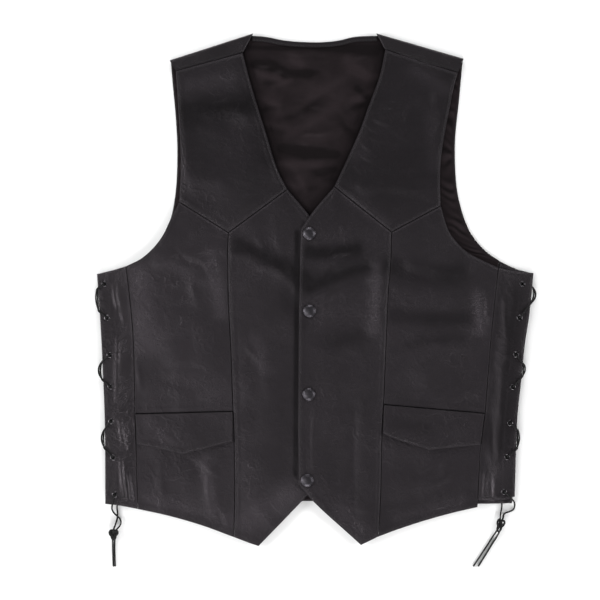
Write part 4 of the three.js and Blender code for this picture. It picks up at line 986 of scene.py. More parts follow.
@dataclass
class Cloth:
    """A cut piece of leather or lining: a thin wall over a patch, its hems and its stitches."""

    name: str
    patch: Patch
    under: Array
    thickness: float
    finish: Material
    thread: Material
    slot: Slot = Slot.LEATHER
    hems: dict[Edge, Hem] = field(default_factory=dict)
    holes: Array | None = None
    hole_radius: float = 2.5
    seed: int = 1
    tones: Array | None = None
    stitches_clear: float = 1.6

    def top(self) -> Array:
        """Heights of the upper face.

        The lower face's height, plus the thickness, plus each turned allowance, less the groove
        under each stitch row, less the quarter round that rolls the edge down.
        """
        patch = self.patch
        near = patch.nearest()
        raised, groove = np.zeros_like(near), np.zeros_like(near)
        slant = (patch.x + patch.y) * PUCKER_TURN
        ripple = np.sin(undulation(patch.x, patch.y, self.seed + 40, 9.0) + slant)
        for edge, hem in self.hems.items():
            away, share = patch.away[edge], patch.u if edge in (Edge.TOP, Edge.BOTTOM) else patch.v
            low, high = hem.span
            inside = smooth(low - 0.02, low + 0.01, share) if low > 0 else np.ones_like(share)
            inside = inside * (1 - smooth(high - 0.01, high + 0.02, share)) if high < 1 else inside
            ledge = 1 - smooth(hem.ledge - LEDGE_FADE, hem.ledge + LEDGE_FADE, away)
            raised = np.maximum(raised, inside * hem.lift * ledge)
            for row in hem.rows:
                dent = np.exp(-(((away - row) / GROOVE_WIDTH) ** 2))
                groove = np.maximum(groove, inside * STITCH_GROOVE * dent)
                raised += inside * PUCKER * ripple * np.exp(-(((away - row) / PUCKER_WIDTH) ** 2))
        rolls = [patch.away[e] / self.hems.get(e, PLAIN).roll for e in Edge]
        t = np.clip(np.minimum.reduce(rolls), 0.0, 1.0)
        roll = ROLL_SHARE * self.thickness * (1 - np.sqrt(1 - (1 - t) ** 2))
        return self.under + self.thickness + raised * smooth(-0.4, 0.7, near) - groove - roll

    def seams(self, heights: Array) -> tuple[Array, Array] | None:
        """The stitch rows of all hems as one mesh."""
        parts = []
        for edge, hem in self.hems.items():
            across = edge in (Edge.TOP, Edge.BOTTOM)
            for row in hem.rows:
                run = self.patch.line(edge, row, heights)
                share = self.patch.line(edge, row, self.patch.u if across else self.patch.v)[:, 2]
                ends = (Edge.OUTER, Edge.INNER) if across else (Edge.TOP, Edge.BOTTOM)
                clear = np.minimum(*(self.patch.line(edge, row, self.patch.away[e])[:, 2] for e in ends))
                keep = (share >= hem.span[0]) & (share <= hem.span[1]) & (clear > self.stitches_clear)
                if keep.sum() > 3:
                    parts.append(stitches(run[keep]))
        return combined(parts) if parts else None

    def build(self, *nodes: str, rests_on: tuple[str, ...] = ("back_lining",)) -> Object:
        """Args:
            nodes: the CAD nodes that the piece stands for.
            rests_on: what it lies on; not used.

        Returns:
            The cloth object.
        """
        patch = self.patch
        top = self.top()
        flat = np.stack([patch.x, patch.y], axis=-1).reshape(-1, 2)
        face = np.column_stack([flat, top.ravel()])
        back = np.column_stack([patch.spread_out(UNDER_SPREAD).reshape(-1, 2), self.under.ravel()])
        cells = facing_up(face, quads(*patch.x.shape))
        if self.holes is not None:
            cells = self.pierced(face, back, cells)
        points, faces = closed(face, back, cells)
        # rim marks the rolled edges, which the leather finishes paint darker as shade; tones are painted
        # light and shade, with a painted highlight along each sewn edge, unless the piece brings its own
        rim = np.exp(-((patch.nearest() / RIM_REACH) ** 2))
        tones = front_light_and_shade(patch.x, patch.y) + self.edge_highlight() if self.tones is None else self.tones
        rim, tones = (np.concatenate([marks.ravel(), np.zeros(len(back))]) for marks in (rim, tones))
        made = make_mesh(self.name, points, faces, rim=rim, tone=tones)
        settle(made, self.finish, self.slot, *nodes)
        sewn = self.seams(top)
        if sewn is not None:
            settle(make_mesh(f"{self.name}_stitches", *sewn), self.thread, Slot.LACE)
        width, length = patch.extent()
        area = min(patch.area(), width * length)
        return made

    def edge_highlight(self) -> Array:
        """A painted highlight: the lighter line along each sewn edge, as tones on the grid."""
        place, width, gain = SEAM_LIGHT
        light = np.zeros_like(self.patch.x)
        for edge, hem in self.hems.items():
            if hem.rows:
                aside = (self.patch.away[edge] - place) / width
                light = np.maximum(light, gain * np.exp(-(aside**2)))
        return light

    def pierced(self, face: Array, back: Array, cells: Array) -> Array:
        """Opens a round hole at each centre.

        Points nearer than the hole's radius move straight out to it, and cells that lie wholly
        within reach of the centre are left out.
        """
        for x, y in self.holes:
            way = face[:, :2] - [x, y]
            far = np.linalg.norm(way, axis=1)
            close = far < self.hole_radius + 0.45
            cells = cells[~close[cells].all(axis=1)]
            push = far < self.hole_radius
            for points in (face, back):
                points[push, :2] = [x, y] + way[push] / np.maximum(far[push, None], 1e-6) * self.hole_radius
        return cells


def strip_ramp(u: Array) -> Array:
    """How far a lacing strip has risen towards its outer edge, from 0 to 1."""
    return smooth(*STRIP_RAMP, 1 - u)


# How far from the lap's middle the crown, the folds and the creases start and are full
CROWN_CLEAR, FOLDS_CLEAR, CREASES_CLEAR = (14.0, 40.0), (14.0, 32.0), (10.0, 24.0)
DEEPEST = 0.5
# Painted shade towards the top of the fronts and painted light towards their left
TOP_SHADE, SIDE_LIGHT = 0.5, 0.15


def crown(patch: Patch) -> Array:
    """The gentle rise of a panel between its seams, which dies away in the lap."""
    clear = smooth(*CROWN_CLEAR, np.abs(patch.x - LAP_X))
    return CROWN * (1 - (2 * patch.u - 1) ** 4) * (1 - (2 * patch.v - 1) ** 4) * clear


def front_light_and_shade(x: Array, y: Array) -> Array:
    """Painted light and shade at each point, above or below 0: listed highlights and shadows, darker up and
    to the right.
    """
    shade, light = TOP_SHADE * smooth(40.0, 150.0, y), SIDE_LIGHT * smooth(60.0, -160.0, x)
    return crease_height(FRONT_PAINTED_LIGHT, x, y) - shade + light


def front_shape(x: Array, y: Array, lap_creases: bool = False) -> Array:
    """The large folds and hand-placed creases of the fronts, and the slow swell of the hide.

    Args:
        x: places across, in millimetres.
        y: places along.
        lap_creases: keeps the creases in the lap, as on the upper of the two fronts.

    Returns:
        The added height in millimetres, which levels out by a tanh short of the lining.
    """
    from_lap = np.abs(x - LAP_X)
    folds = crease_height(FRONT_FOLDS, x, y) * smooth(*FOLDS_CLEAR, from_lap)
    creases = CREASE_GAIN * crease_height(FRONT_CREASES, x, y, 0.6)
    clear = smooth(*CREASES_CLEAR, from_lap)
    in_lap = np.maximum(creases, -0.45) * (1 - clear) if lap_creases else 0.0
    swell = undulation(x, y, 7, 0.55, (34.0, 90.0)) + undulation(x, y, 8, 0.07, (12.0, 26.0))
    shape = folds + creases * clear + in_lap + swell * (0.25 + 0.75 * clear)
    deep = np.maximum(0.0, -DEEPEST - shape)
    return shape + deep - DEEPEST * np.tanh(deep / DEEPEST)


@dataclass
class FrontSide:
    """One side's front: yoke, centre, side, lower front, pocket flap and lacing strip."""

    side: Side
    leather: Material
    strip_leather: Material
    thread: Material
    step: float = 2.0
    strip_step: float = 1.5
    strip_gain: float = 2.6
    flap_inset: float = 0.7
    flap_lift: float = 1.3
    strip_share: float = 9 / 14
    yoke_share: float = 0.4
    underarm_share: float = 5 / 9

    def __post_init__(self) -> None:
        """Looks up the side's seams."""
        self.table = SEAMS[self.side]

    def curve(self, name: str) -> Array:
        """One of the side's seam curves, by its name in the table."""
        return seam(getattr(self.table, name))

    def run(self, *names: str, ends: tuple[float, ...] = (1.0,)) -> Run:
        """An edge made of named seam curves."""
        return Run(tuple(self.curve(name) for name in names), ends)

    def cloth(self, name: str, patch: Patch, under: Array, hems: dict[Edge, Hem], **more: object) -> Cloth:
        """A piece of this side's leather, as thick as the fronts where more doesn't say otherwise."""
        more = {"thickness": FRONT_LEATHER, "finish": self.leather, "thread": self.thread, **more}
        return Cloth(f"{name}_{self.side.value}_skin", patch, under, hems=hems, **more)

    def build(self) -> list[Object]:
        """Makes the six pieces."""
        return [self.yoke(), self.centre(), self.side_front(), self.lower(), self.flap(), self.strip()]

    def yoke(self) -> Object:
        """The shoulder piece with its pointed lower seam; its neck edge stands up a little."""
        patch = Patch(
            self.run("shoulder_seam"), self.run("yoke_outer", "yoke_inner", ends=(self.yoke_share, 1.0)),
            self.run("armhole"), self.run("neck_high"), self.step,
        )
        lift = NECK_LIFT * patch.u**4 * (1 - (2 * patch.v - 1) ** 4)
        under = FRONT_UNDER + front_shape(patch.x, patch.y) + crown(patch) + lift
        hems = {
            Edge.TOP: Hem(lift=0.3), Edge.BOTTOM: Hem(lift=0.5), Edge.OUTER: Hem(lift=0.25),
            Edge.INNER: Hem(lift=0.3),
        }
        return self.cloth("yoke", patch, under, hems, seed=3).build(f"front_yoke_{self.side.value}")

    def centre(self) -> Object:
        """The centre front with the neck's lower edge, the front edge and the pointed hem."""
        patch = Patch(
            self.run("yoke_inner", "neck_low", ends=(1 - self.yoke_share, 1.0)),
            self.run("hem_tip", "hem_rise", ends=(0.3, 1.0)),
            self.run("princess_high", "princess_low", ends=(self.strip_share, 1.0)),
            self.run("front_edge"), self.step,
        )
        upper = self.side is Side.RIGHT
        under = FRONT_UNDER + front_shape(patch.x, patch.y, lap_creases=upper) + crown(patch)
        if upper:
            under = under + LAP_STEP * (1 - smooth(*LAP_BLEND, patch.x))
        hems = {
            Edge.INNER: Hem(lift=0.4, roll=1.3), Edge.BOTTOM: Hem(lift=0.35), Edge.OUTER: Hem(lift=0.45),
            Edge.TOP: Hem(lift=0.35, span=(1 - self.yoke_share, 1.0), roll=0.9),
        }
        return self.cloth("centre", patch, under, hems, seed=5).build(f"front_centre_{self.side.value}")

    def side_front(self) -> Object:
        """The panel between the centre and the strip, from the underarm to the pocket."""
        patch = Patch(
            self.run("underarm", "yoke_outer", ends=(self.underarm_share, 1.0)),
            self.run("pocket_seam"), self.run("strip_high"), self.run("princess_high"), self.step,
        )
        under = FRONT_UNDER + front_shape(patch.x, patch.y) + crown(patch)
        hems = {
            Edge.TOP: Hem(lift=0.4, span=(0.0, self.underarm_share)), Edge.BOTTOM: Hem(lift=0.35, rows=()),
            Edge.INNER: Hem(lift=0.0, rows=(), roll=0.8),
        }
        return self.cloth("side", patch, under, hems, seed=8).build(f"front_side_{self.side.value}")

    def lower(self) -> Object:
        """The panel under the pocket flap, down to the hem."""
        patch = Patch(
            self.run("pocket_seam"), self.run("hem_side"), self.run("strip_low"),
            self.run("princess_low"), self.step,
        )
        under = FRONT_UNDER + front_shape(patch.x, patch.y)
        piece = self.cloth("lower", patch, under, {Edge.BOTTOM: Hem(lift=0.35)}, seed=11)
        return piece.build(f"front_lower_{self.side.value}")

    def flap(self) -> Object:
        """The pointed pocket flap, which lies on the lower front."""
        sewn, outer, inner = (self.curve(name) for name in ("pocket_seam", "flap_outer", "flap_inner"))
        patch = Patch(
            self.run("pocket_seam"), self.run("flap_outer", "flap_inner", ends=(self.underarm_share, 1.0)),
            Run((np.array([sewn[0], outer[0]]),)), Run((np.array([sewn[-1], inner[-1]]),)),
            self.step, self.flap_inset,
        )
        own = np.maximum(crease_height(FLAP_CREASES, patch.x, patch.y, 0.6), -0.15)
        under = FRONT_UNDER + front_shape(patch.x, patch.y) + FRONT_LEATHER + GAP
        under = under + own + self.flap_lift * patch.v**3
        end = Hem(lift=0.2, rows=())
        hems = {Edge.BOTTOM: Hem(lift=0.3, ledge=6.0), Edge.OUTER: end, Edge.INNER: end}
        piece = self.cloth("flap", patch, under, hems, thickness=STRIP_LEATHER, seed=13)
        return piece.build(f"pocket_flap_{self.side.value}", rests_on=(f"front_lower_{self.side.value}",))

    def strip(self) -> Object:
        """The lacing strip, which rises from its seam so that the laces pass under it."""
        end = np.array(self.table.strip_hem[-1])
        low = self.curve("strip_low")
        low = np.vstack([low[low[:, 1] > end[1] + 0.2], end])
        patch = Patch(
            self.run("strip_top"), self.run("strip_hem"), self.run("strip_side"),
            Run((self.curve("strip_high"), low), (self.strip_share, 1.0)), self.strip_step,
        )
        ramp = strip_ramp(patch.u)
        base = FRONT_UNDER + front_shape(patch.x, patch.y)
        creases = self.strip_gain * crease_height(STRIP_CREASES, patch.x, patch.y, 0.6)
        under = base * (1 - ramp) + FRONT_STRIP_UNDER * ramp + creases * smooth(0.0, 3.0, patch.nearest())
        holes = np.array(self.table.eyelets)
        under = self.level_at_holes(patch, under, holes, FRONT_STRIP_UNDER)
        hems = {Edge.TOP: Hem(lift=0.25), Edge.BOTTOM: Hem(lift=0.25), Edge.OUTER: Hem(lift=0.3, ledge=15.0)}
        piece = self.cloth(
            "strip", patch, under, hems, thickness=STRIP_LEATHER, finish=self.strip_leather, seed=17,
            holes=holes,
        )
        return piece.build(f"front_strip_{self.side.value}", rests_on=(f"lacing_{self.side.value}",))

    @staticmethod
    def level_at_holes(patch: Patch, under: Array, centres: Array, level: float) -> Array:
        """Keeps the strip at its eyelets' level within a few millimetres of each."""
        away = np.min([np.hypot(patch.x - x, patch.y - y) for x, y in centres], axis=0)
        keep = smooth(3.6, 7.5, away)
        return under * keep + level * (1 - keep)


def fold_point(table: Seams, t: Array, s: Array | float | None) -> Array:
    """Points on a shoulder: share t of its fold line from the armhole, s in towards the seam.

    Args:
        table: the side's seams.
        t: shares of the fold line.
        s: the distance in from the fold in millimetres, or None for the seam itself.

    Returns:
        The places across and along, one a row.
    """
    share = t[:, None]
    fold, sewn = (
        np.array(line[0]) * (1 - share) + np.array(line[1]) * share
        for line in (table.fold_line, table.shoulder_seam)
    )
    way = sewn - fold
    width = np.linalg.norm(way, axis=1, keepdims=True)
    far = width - 0.12 if s is None else s
    return fold + way / width * far


WRAP_LINES = (4.6, 3.4, 2.8, 2.2, 1.4, 0.8, 0.4, 0.15, 0.0)
WRAP_AREA = 0.0052
JUST_PAST = 1.00001
ARMHOLE_ROUND = 560.0
PUCKER_RATE = 0.36
PUCKER_LEAN = 0.2
ARMHOLE_REACH = 19.0


@dataclass
class BackBody:
    """The back: its leather panel over the shoulders, the satin lining, the facing and the strips."""

    leather: Material
    strip_leather: Material
    satin: Material
    thread: Material
    step: float = 3.4
    lining_step: float = 2.5
    facing_step: float = 1.6
    strip_step: float = 1.8
    shoulder_share: float = 5 / 16
    flank_share: float = 9 / 15
    fold_steps: int = 14

    def patch(self, step: float, inset: float) -> Patch:
        """The back's outline as a patch."""
        ends = np.array([0.0, 1.0])
        shoulder = {s: fold_point(SEAMS[s], ends, FOLD_RADIUS) for s in Side}
        neck = np.array(BACK_NECK)
        neck[0], neck[-1] = shoulder[Side.LEFT][1], shoulder[Side.RIGHT][1]
        flank = {}
        for s in Side:
            armhole = np.array(SEAMS[s].back_armhole)
            armhole[0] = shoulder[s][0]
            flank[s] = Run((seam(armhole), seam(SEAMS[s].back_seam)), (self.flank_share, 1.0))
        top = Run(
            (shoulder[Side.LEFT], seam(neck), shoulder[Side.RIGHT][::-1]),
            (self.shoulder_share, 1 - self.shoulder_share, 1.0),
        )
        return Patch(top, Run((seam(BACK_HEM),)), flank[Side.LEFT], flank[Side.RIGHT], step, inset)

    def panel(self) -> Object:
        """The leather back with its two shoulder wraps.

        Each wrap carries the panel's top row round the fold, R (1 - sin a) in and R (1 - cos a)
        up, for a from 0 to a half turn, and then flat to the shoulder seam.
        """
        patch = self.patch(self.step, 0.12)
        near = patch.nearest()
        t = np.clip(near / SHOULDER_ROLL, 0.0, 1.0)
        roll = 0.4 * BACK_LEATHER * (1 - np.sqrt(1 - (1 - t) ** 2))
        roll *= 1 - np.exp(-((patch.away[Edge.TOP] / 2) ** 2))
        flat = np.stack([patch.x, patch.y], axis=-1).reshape(-1, 2)
        outside = [np.column_stack([flat, roll.ravel()])]
        inside = [np.column_stack([flat, np.full(len(flat), BACK_LEATHER)])]
        cells = [facing_up(outside[0], quads(*patch.x.shape))[:, ::-1]]
        count = len(flat)
        for side, across in ((Side.LEFT, patch.u[0]), (Side.RIGHT, 1 - patch.u[0])):
            share = across / self.shoulder_share
            first = np.flatnonzero(share < JUST_PAST)
            for rows in zip(*self.wrap(SEAMS[side], share[first])):
                outside.append(rows[0])
                inside.append(rows[1])
                row = np.arange(count, count + len(first))
                cells.append(np.stack([row[:-1], row[1:], first[1:], first[:-1]], axis=1))
                first, count = row, count + len(first)
        face, back = np.vstack(outside), np.vstack(inside)
        faces = np.vstack(cells)
        # The rim mark, which the back's finish paints darker as shade along the rolled edges
        ring = np.zeros(len(face))
        ring[: near.size] = np.exp(-((near.ravel() / RIM_REACH) ** 2))
        points, shell = closed(face, back, faces)
        made = make_mesh("back_skin", points, shell, rim=np.concatenate([ring, np.zeros(len(back))]))
        settle(made, self.leather, Slot.LEATHER, "back_panel")
        width, length = patch.extent()
        area = patch.area() + WRAP_AREA
        return made

    def wrap(self, table: Seams, share: Array) -> tuple[list[Array], list[Array]]:
        """The rows of points of one shoulder wrap, outside and inside."""
        outside, inside = [], []
        inner = FOLD_RADIUS - BACK_LEATHER
        for k in range(1, self.fold_steps + 1):
            angle = math.pi * k / self.fold_steps
            for radius, rows in ((FOLD_RADIUS, outside), (inner, inside)):
                place = fold_point(table, share, FOLD_RADIUS - radius * math.sin(angle))
                height = np.full(len(share), FOLD_RADIUS - radius * math.cos(angle))
                rows.append(np.column_stack([place, height]))
        seam_place = fold_point(table, share, None)
        start = fold_point(table, share, FOLD_RADIUS)
        width = np.linalg.norm(seam_place - start, axis=1)
        for d in (*np.linspace(width.mean(), 6.0, 6)[1:], *WRAP_LINES):
            place = seam_place + (start - seam_place) * (np.minimum(d, width) / width)[:, None]
            t = min(1.0, d / SHOULDER_ROLL)
            drop = 0.5 * BACK_LEATHER * (1 - math.sqrt(1 - (1 - t) ** 2))
            swell = undulation(place[:, 0], place[:, 1], 23, 0.12)
            top = 2 * FOLD_RADIUS + swell + 0.25 * math.exp(-((d - 3.4) ** 2) / 9) - drop
            outside.append(np.column_stack([place, top]))
            inside.append(np.column_stack([place, np.full(len(share), 2 * FOLD_RADIUS - BACK_LEATHER)]))
        return outside, inside

    def shoulder_stitches(self) -> Object:
        """The stitch row on the back's side of each shoulder seam."""
        parts = []
        share = np.linspace(0.02, 0.98, 40)
        for side in Side:
            start, end = fold_point(SEAMS[side], share, FOLD_RADIUS), fold_point(SEAMS[side], share, None)
            way = (start - end) / np.linalg.norm(start - end, axis=1, keepdims=True)
            place = end + way * 2.8
            height = 2 * FOLD_RADIUS + undulation(place[:, 0], place[:, 1], 23, 0.12) + 0.2
            parts.append(stitches(np.column_stack([place, height])))
        return settle(make_mesh("shoulder_stitches", *combined(parts)), self.thread, Slot.LACE)

    def lining(self) -> Object:
        """The satin lining: flat under the fronts, billowing in the neck, puckered at the armholes."""
        patch = self.patch(self.lining_step, LINING_INSET)
        x, y = patch.x, patch.y
        neck = {s: np.vstack([np.array(SEAMS[s].neck_high), np.array(SEAMS[s].neck_low)[1:]]) for s in Side}
        bound = {s: np.interp(-y, -rows[:, 1], rows[:, 0]) for s, rows in neck.items()}
        room = np.minimum.reduce([x - bound[Side.LEFT], bound[Side.RIGHT] - x, NECK_WINDOW[0] - y])
        window = smooth(0.0, NECK_WINDOW[1], room) * (y > LINING_LOW)
        billow = np.maximum(0.0, crease_height(LINING_FOLDS, x, y))
        fine = LINING_GAIN * crease_height(LINING_CREASES, x, y, 0.5)
        fine += undulation(x, y, 31, 0.5, (13.0, 44.0))
        ripple, puckers = self.armhole_ripple(patch)
        height = LINING_UNDER + np.maximum(0.0, (billow + fine) * window) + ripple
        # Painted light and shade: the creases' ridges lighter and troughs darker, the listed tones, and the
        # puckers' shading
        tones = crease_height(LINING_CREASES, x, y, 0.4) + crease_height(LINING_PAINTED_LIGHT, x, y) + puckers
        # Painted shadow along the neck's and the armholes' edges
        depth, width = EDGE_SHADE
        tones = tones - depth * np.exp(-((np.minimum(room, self.from_armholes(x, y)) / width) ** 2))
        piece = Cloth(
            "lining_cloth", patch, height, LINING, self.satin, self.thread, Slot.SATIN,
            hems={Edge.OUTER: PLAIN, Edge.INNER: PLAIN}, tones=np.clip(tones, -1.1, 1.2),
        )
        return piece.build("back_lining", rests_on=("back_panel",))

    @staticmethod
    def from_armholes(x: Array, y: Array) -> Array:
        """How far across each point lies from the nearer of the fronts' armhole edges."""
        away = []
        for table in SEAMS.values():
            rows = np.array([*table.armhole, *table.underarm[-2::-1]])
            away.append(np.abs(x - np.interp(-y, -rows[:, 1], rows[:, 0])))
        return np.minimum(*away)

    @staticmethod
    def armhole_ripple(patch: Patch) -> tuple[Array, Array]:
        """Small slanting puckers of the lining round the armholes, size * (1 + sin): heights, and tones that
        paint their light and shade.
        """
        ripple, tone = np.zeros_like(patch.x), np.zeros_like(patch.x)
        for edge, seed in ((Edge.OUTER, 3), (Edge.INNER, 4)):
            along, away = patch.v * ARMHOLE_ROUND, patch.away[edge]
            phase = along * PUCKER_RATE + away * PUCKER_LEAN + undulation(patch.x, patch.y, 50 + seed, 2.0)
            size = 0.3 + 0.2 * np.sin(along * 0.11 + seed)
            near = np.exp(-((away / ARMHOLE_REACH) ** 2)) * smooth(0.5, 6.0, away)
            near *= (1 - smooth(0.56, 0.6, patch.v)) * smooth(0.03, 0.07, patch.v)
            ripple += size * (1 + np.sin(phase)) * near
            # Painted light and shade that follow the puckers
            tone += (3.0 * size * np.sin(phase) + 0.1) * near
        return ripple, tone

    def facing(self) -> Object:
        """The narrow leather facing along the back of the neck."""
        neck = spline(np.array(BACK_NECK), 24)
        ahead = np.gradient(neck, axis=0)
        ahead /= np.linalg.norm(ahead, axis=1, keepdims=True)
        low = neck + np.column_stack([ahead[:, 1], -ahead[:, 0]]) * FACING_WIDTH
        ends = (Run((np.array([neck[k], low[k]]),)) for k in (0, -1))
        patch = Patch(Run((neck,)), Run((low,)), *ends, self.facing_step, FACING_INSET * 0.7)
        under = LINING_UNDER + LINING + GAP + undulation(patch.x, patch.y, 19, 0.1)
        piece = Cloth(
            "neck_facing_skin", patch, under, LINING, self.leather, self.thread,
            hems={Edge.BOTTOM: Hem(lift=0.1, rows=(1.2,))}, seed=21,
        )
        return piece.build("back_neck_facing", rests_on=("back_lining",))

    def strip(self, side: Side) -> Object:
        """A back lacing strip, which lies under the laces."""
        table = SEAMS[side]
        patch = Patch(
            Run((seam(table.back_top),)), Run((seam(table.back_hem),)), Run((seam(table.back_side),)),
            Run((seam(table.back_seam),)), self.strip_step,
        )
        centres = back_eyelets(table)
        under = STRIP_LIFT * strip_ramp(patch.u)
        under = FrontSide.level_at_holes(patch, under, centres, STRIP_LIFT)
        piece = Cloth(
            f"back_strip_{side.value}_skin", patch, under, BACK_LEATHER, self.strip_leather, self.thread,
            hems={Edge.OUTER: Hem(lift=0.0), Edge.BOTTOM: Hem(lift=0.0)}, holes=centres, seed=29,
        )
        return piece.build(f"back_strip_{side.value}", rests_on=())

    def build(self) -> list[Object]:
        """Makes the back's pieces."""
        return [
            self.panel(), self.shoulder_stitches(), self.lining(), self.facing(),
            self.strip(Side.LEFT), self.strip(Side.RIGHT),
        ]


def back_eyelets(table: Seams) -> Array:
    """Centres of the back strip's eyelets, a little further in than the front's."""
    return np.array(table.eyelets) - [table.out * BACK_EYELET_SHIFT, 0.0]


@dataclass(frozen=True)
class Knot:
    """A knot's middle and half sizes, in millimetres, and the turns that its cord takes."""

    x: float
    y: float
    z: float
    across: float
    along: float
    high: float
    cord: float
    core: float
    turn: float = 0.0


@dataclass(frozen=True)
class LaceRun:
    """One side's free lace: the knot, the rows up to it and the ends that leave it."""

    knot: Knot
    over: Places
    under: Places
    over_end: Places
    under_end: Places


LACE_RUNS: dict[Side, LaceRun] = {
    Side.LEFT: LaceRun(
        knot=Knot(-242.3, -293.6, 4.3, 6.0, 7.6, 4.1, 1.9, 0.74),
        over=(
            (-242.2, -252.4, 10.2), (-243.6, -258.4, 9.3), (-244.1, -262.6, 6.6),
            (-243.2, -266.2, 3.5), (-240.6, -269.6, 3.2), (-237.4, -272.4, 3.4),
            (-234.6, -275.8, 2.2), (-233.6, -280.0, 1.6), (-235.3, -284.2, 2.2),
            (-238.5, -287.8, 3.2),
        ),
        under=(
            (-238.4, -262.0, 1.1), (-237.9, -267.0, 1.1), (-237.7, -272.0, 1.1),
            (-238.6, -277.0, 1.1), (-240.2, -282.0, 1.9), (-241.7, -286.3, 3.2),
        ),
        over_end=(
            (-243.3, -299.0, 3.2), (-243.4, -305.0, 1.4), (-243.4, -312.0, 1.1),
            (-243.1, -322.0, 1.1), (-242.7, -332.9, 1.1),
        ),
        under_end=(
            (-241.2, -299.0, 3.4), (-241.3, -305.0, 1.5), (-241.35, -312.0, 1.1),
            (-241.05, -322.0, 1.1), (-240.65, -332.7, 1.1),
        ),
    ),
    Side.RIGHT: LaceRun(
        knot=Knot(222.4, -282.3, 4.3, 5.4, 9.6, 4.1, 1.25, 0.0, -0.3),
        over=(
            (231.6, -246.6, 10.0), (235.2, -250.6, 9.2), (238.4, -254.0, 6.6),
            (239.7, -257.6, 3.4), (239.7, -261.2, 1.5), (237.6, -264.8, 1.1),
            (233.6, -266.8, 1.1), (229.0, -268.4, 1.3), (226.5, -270.6, 2.1),
            (225.9, -273.6, 2.9),
        ),
        under=((224.4, -259.4, 1.1), (224.0, -263.4, 1.1), (223.2, -267.8, 1.5), (222.5, -272.9, 3.0)),
        over_end=(
            (222.0, -289.0, 3.8), (217.9, -297.6, 1.4), (213.4, -304.8, 1.1), (204.8, -318.8, 1.1),
            (196.0, -332.7, 1.1),
        ),
        under_end=(
            (219.4, -287.8, 3.8), (213.9, -296.2, 1.5), (208.6, -304.6, 1.1), (199.6, -318.4, 1.1),
            (190.1, -332.7, 1.1),
        ),
    ),
}


# How the upper cord leads on into the knot, from its middle; the lower one does so mirrored
KNOT_LEAD = np.array([[0.9, 1.0, 0.6], [0.6, -2.0, 0.4]])


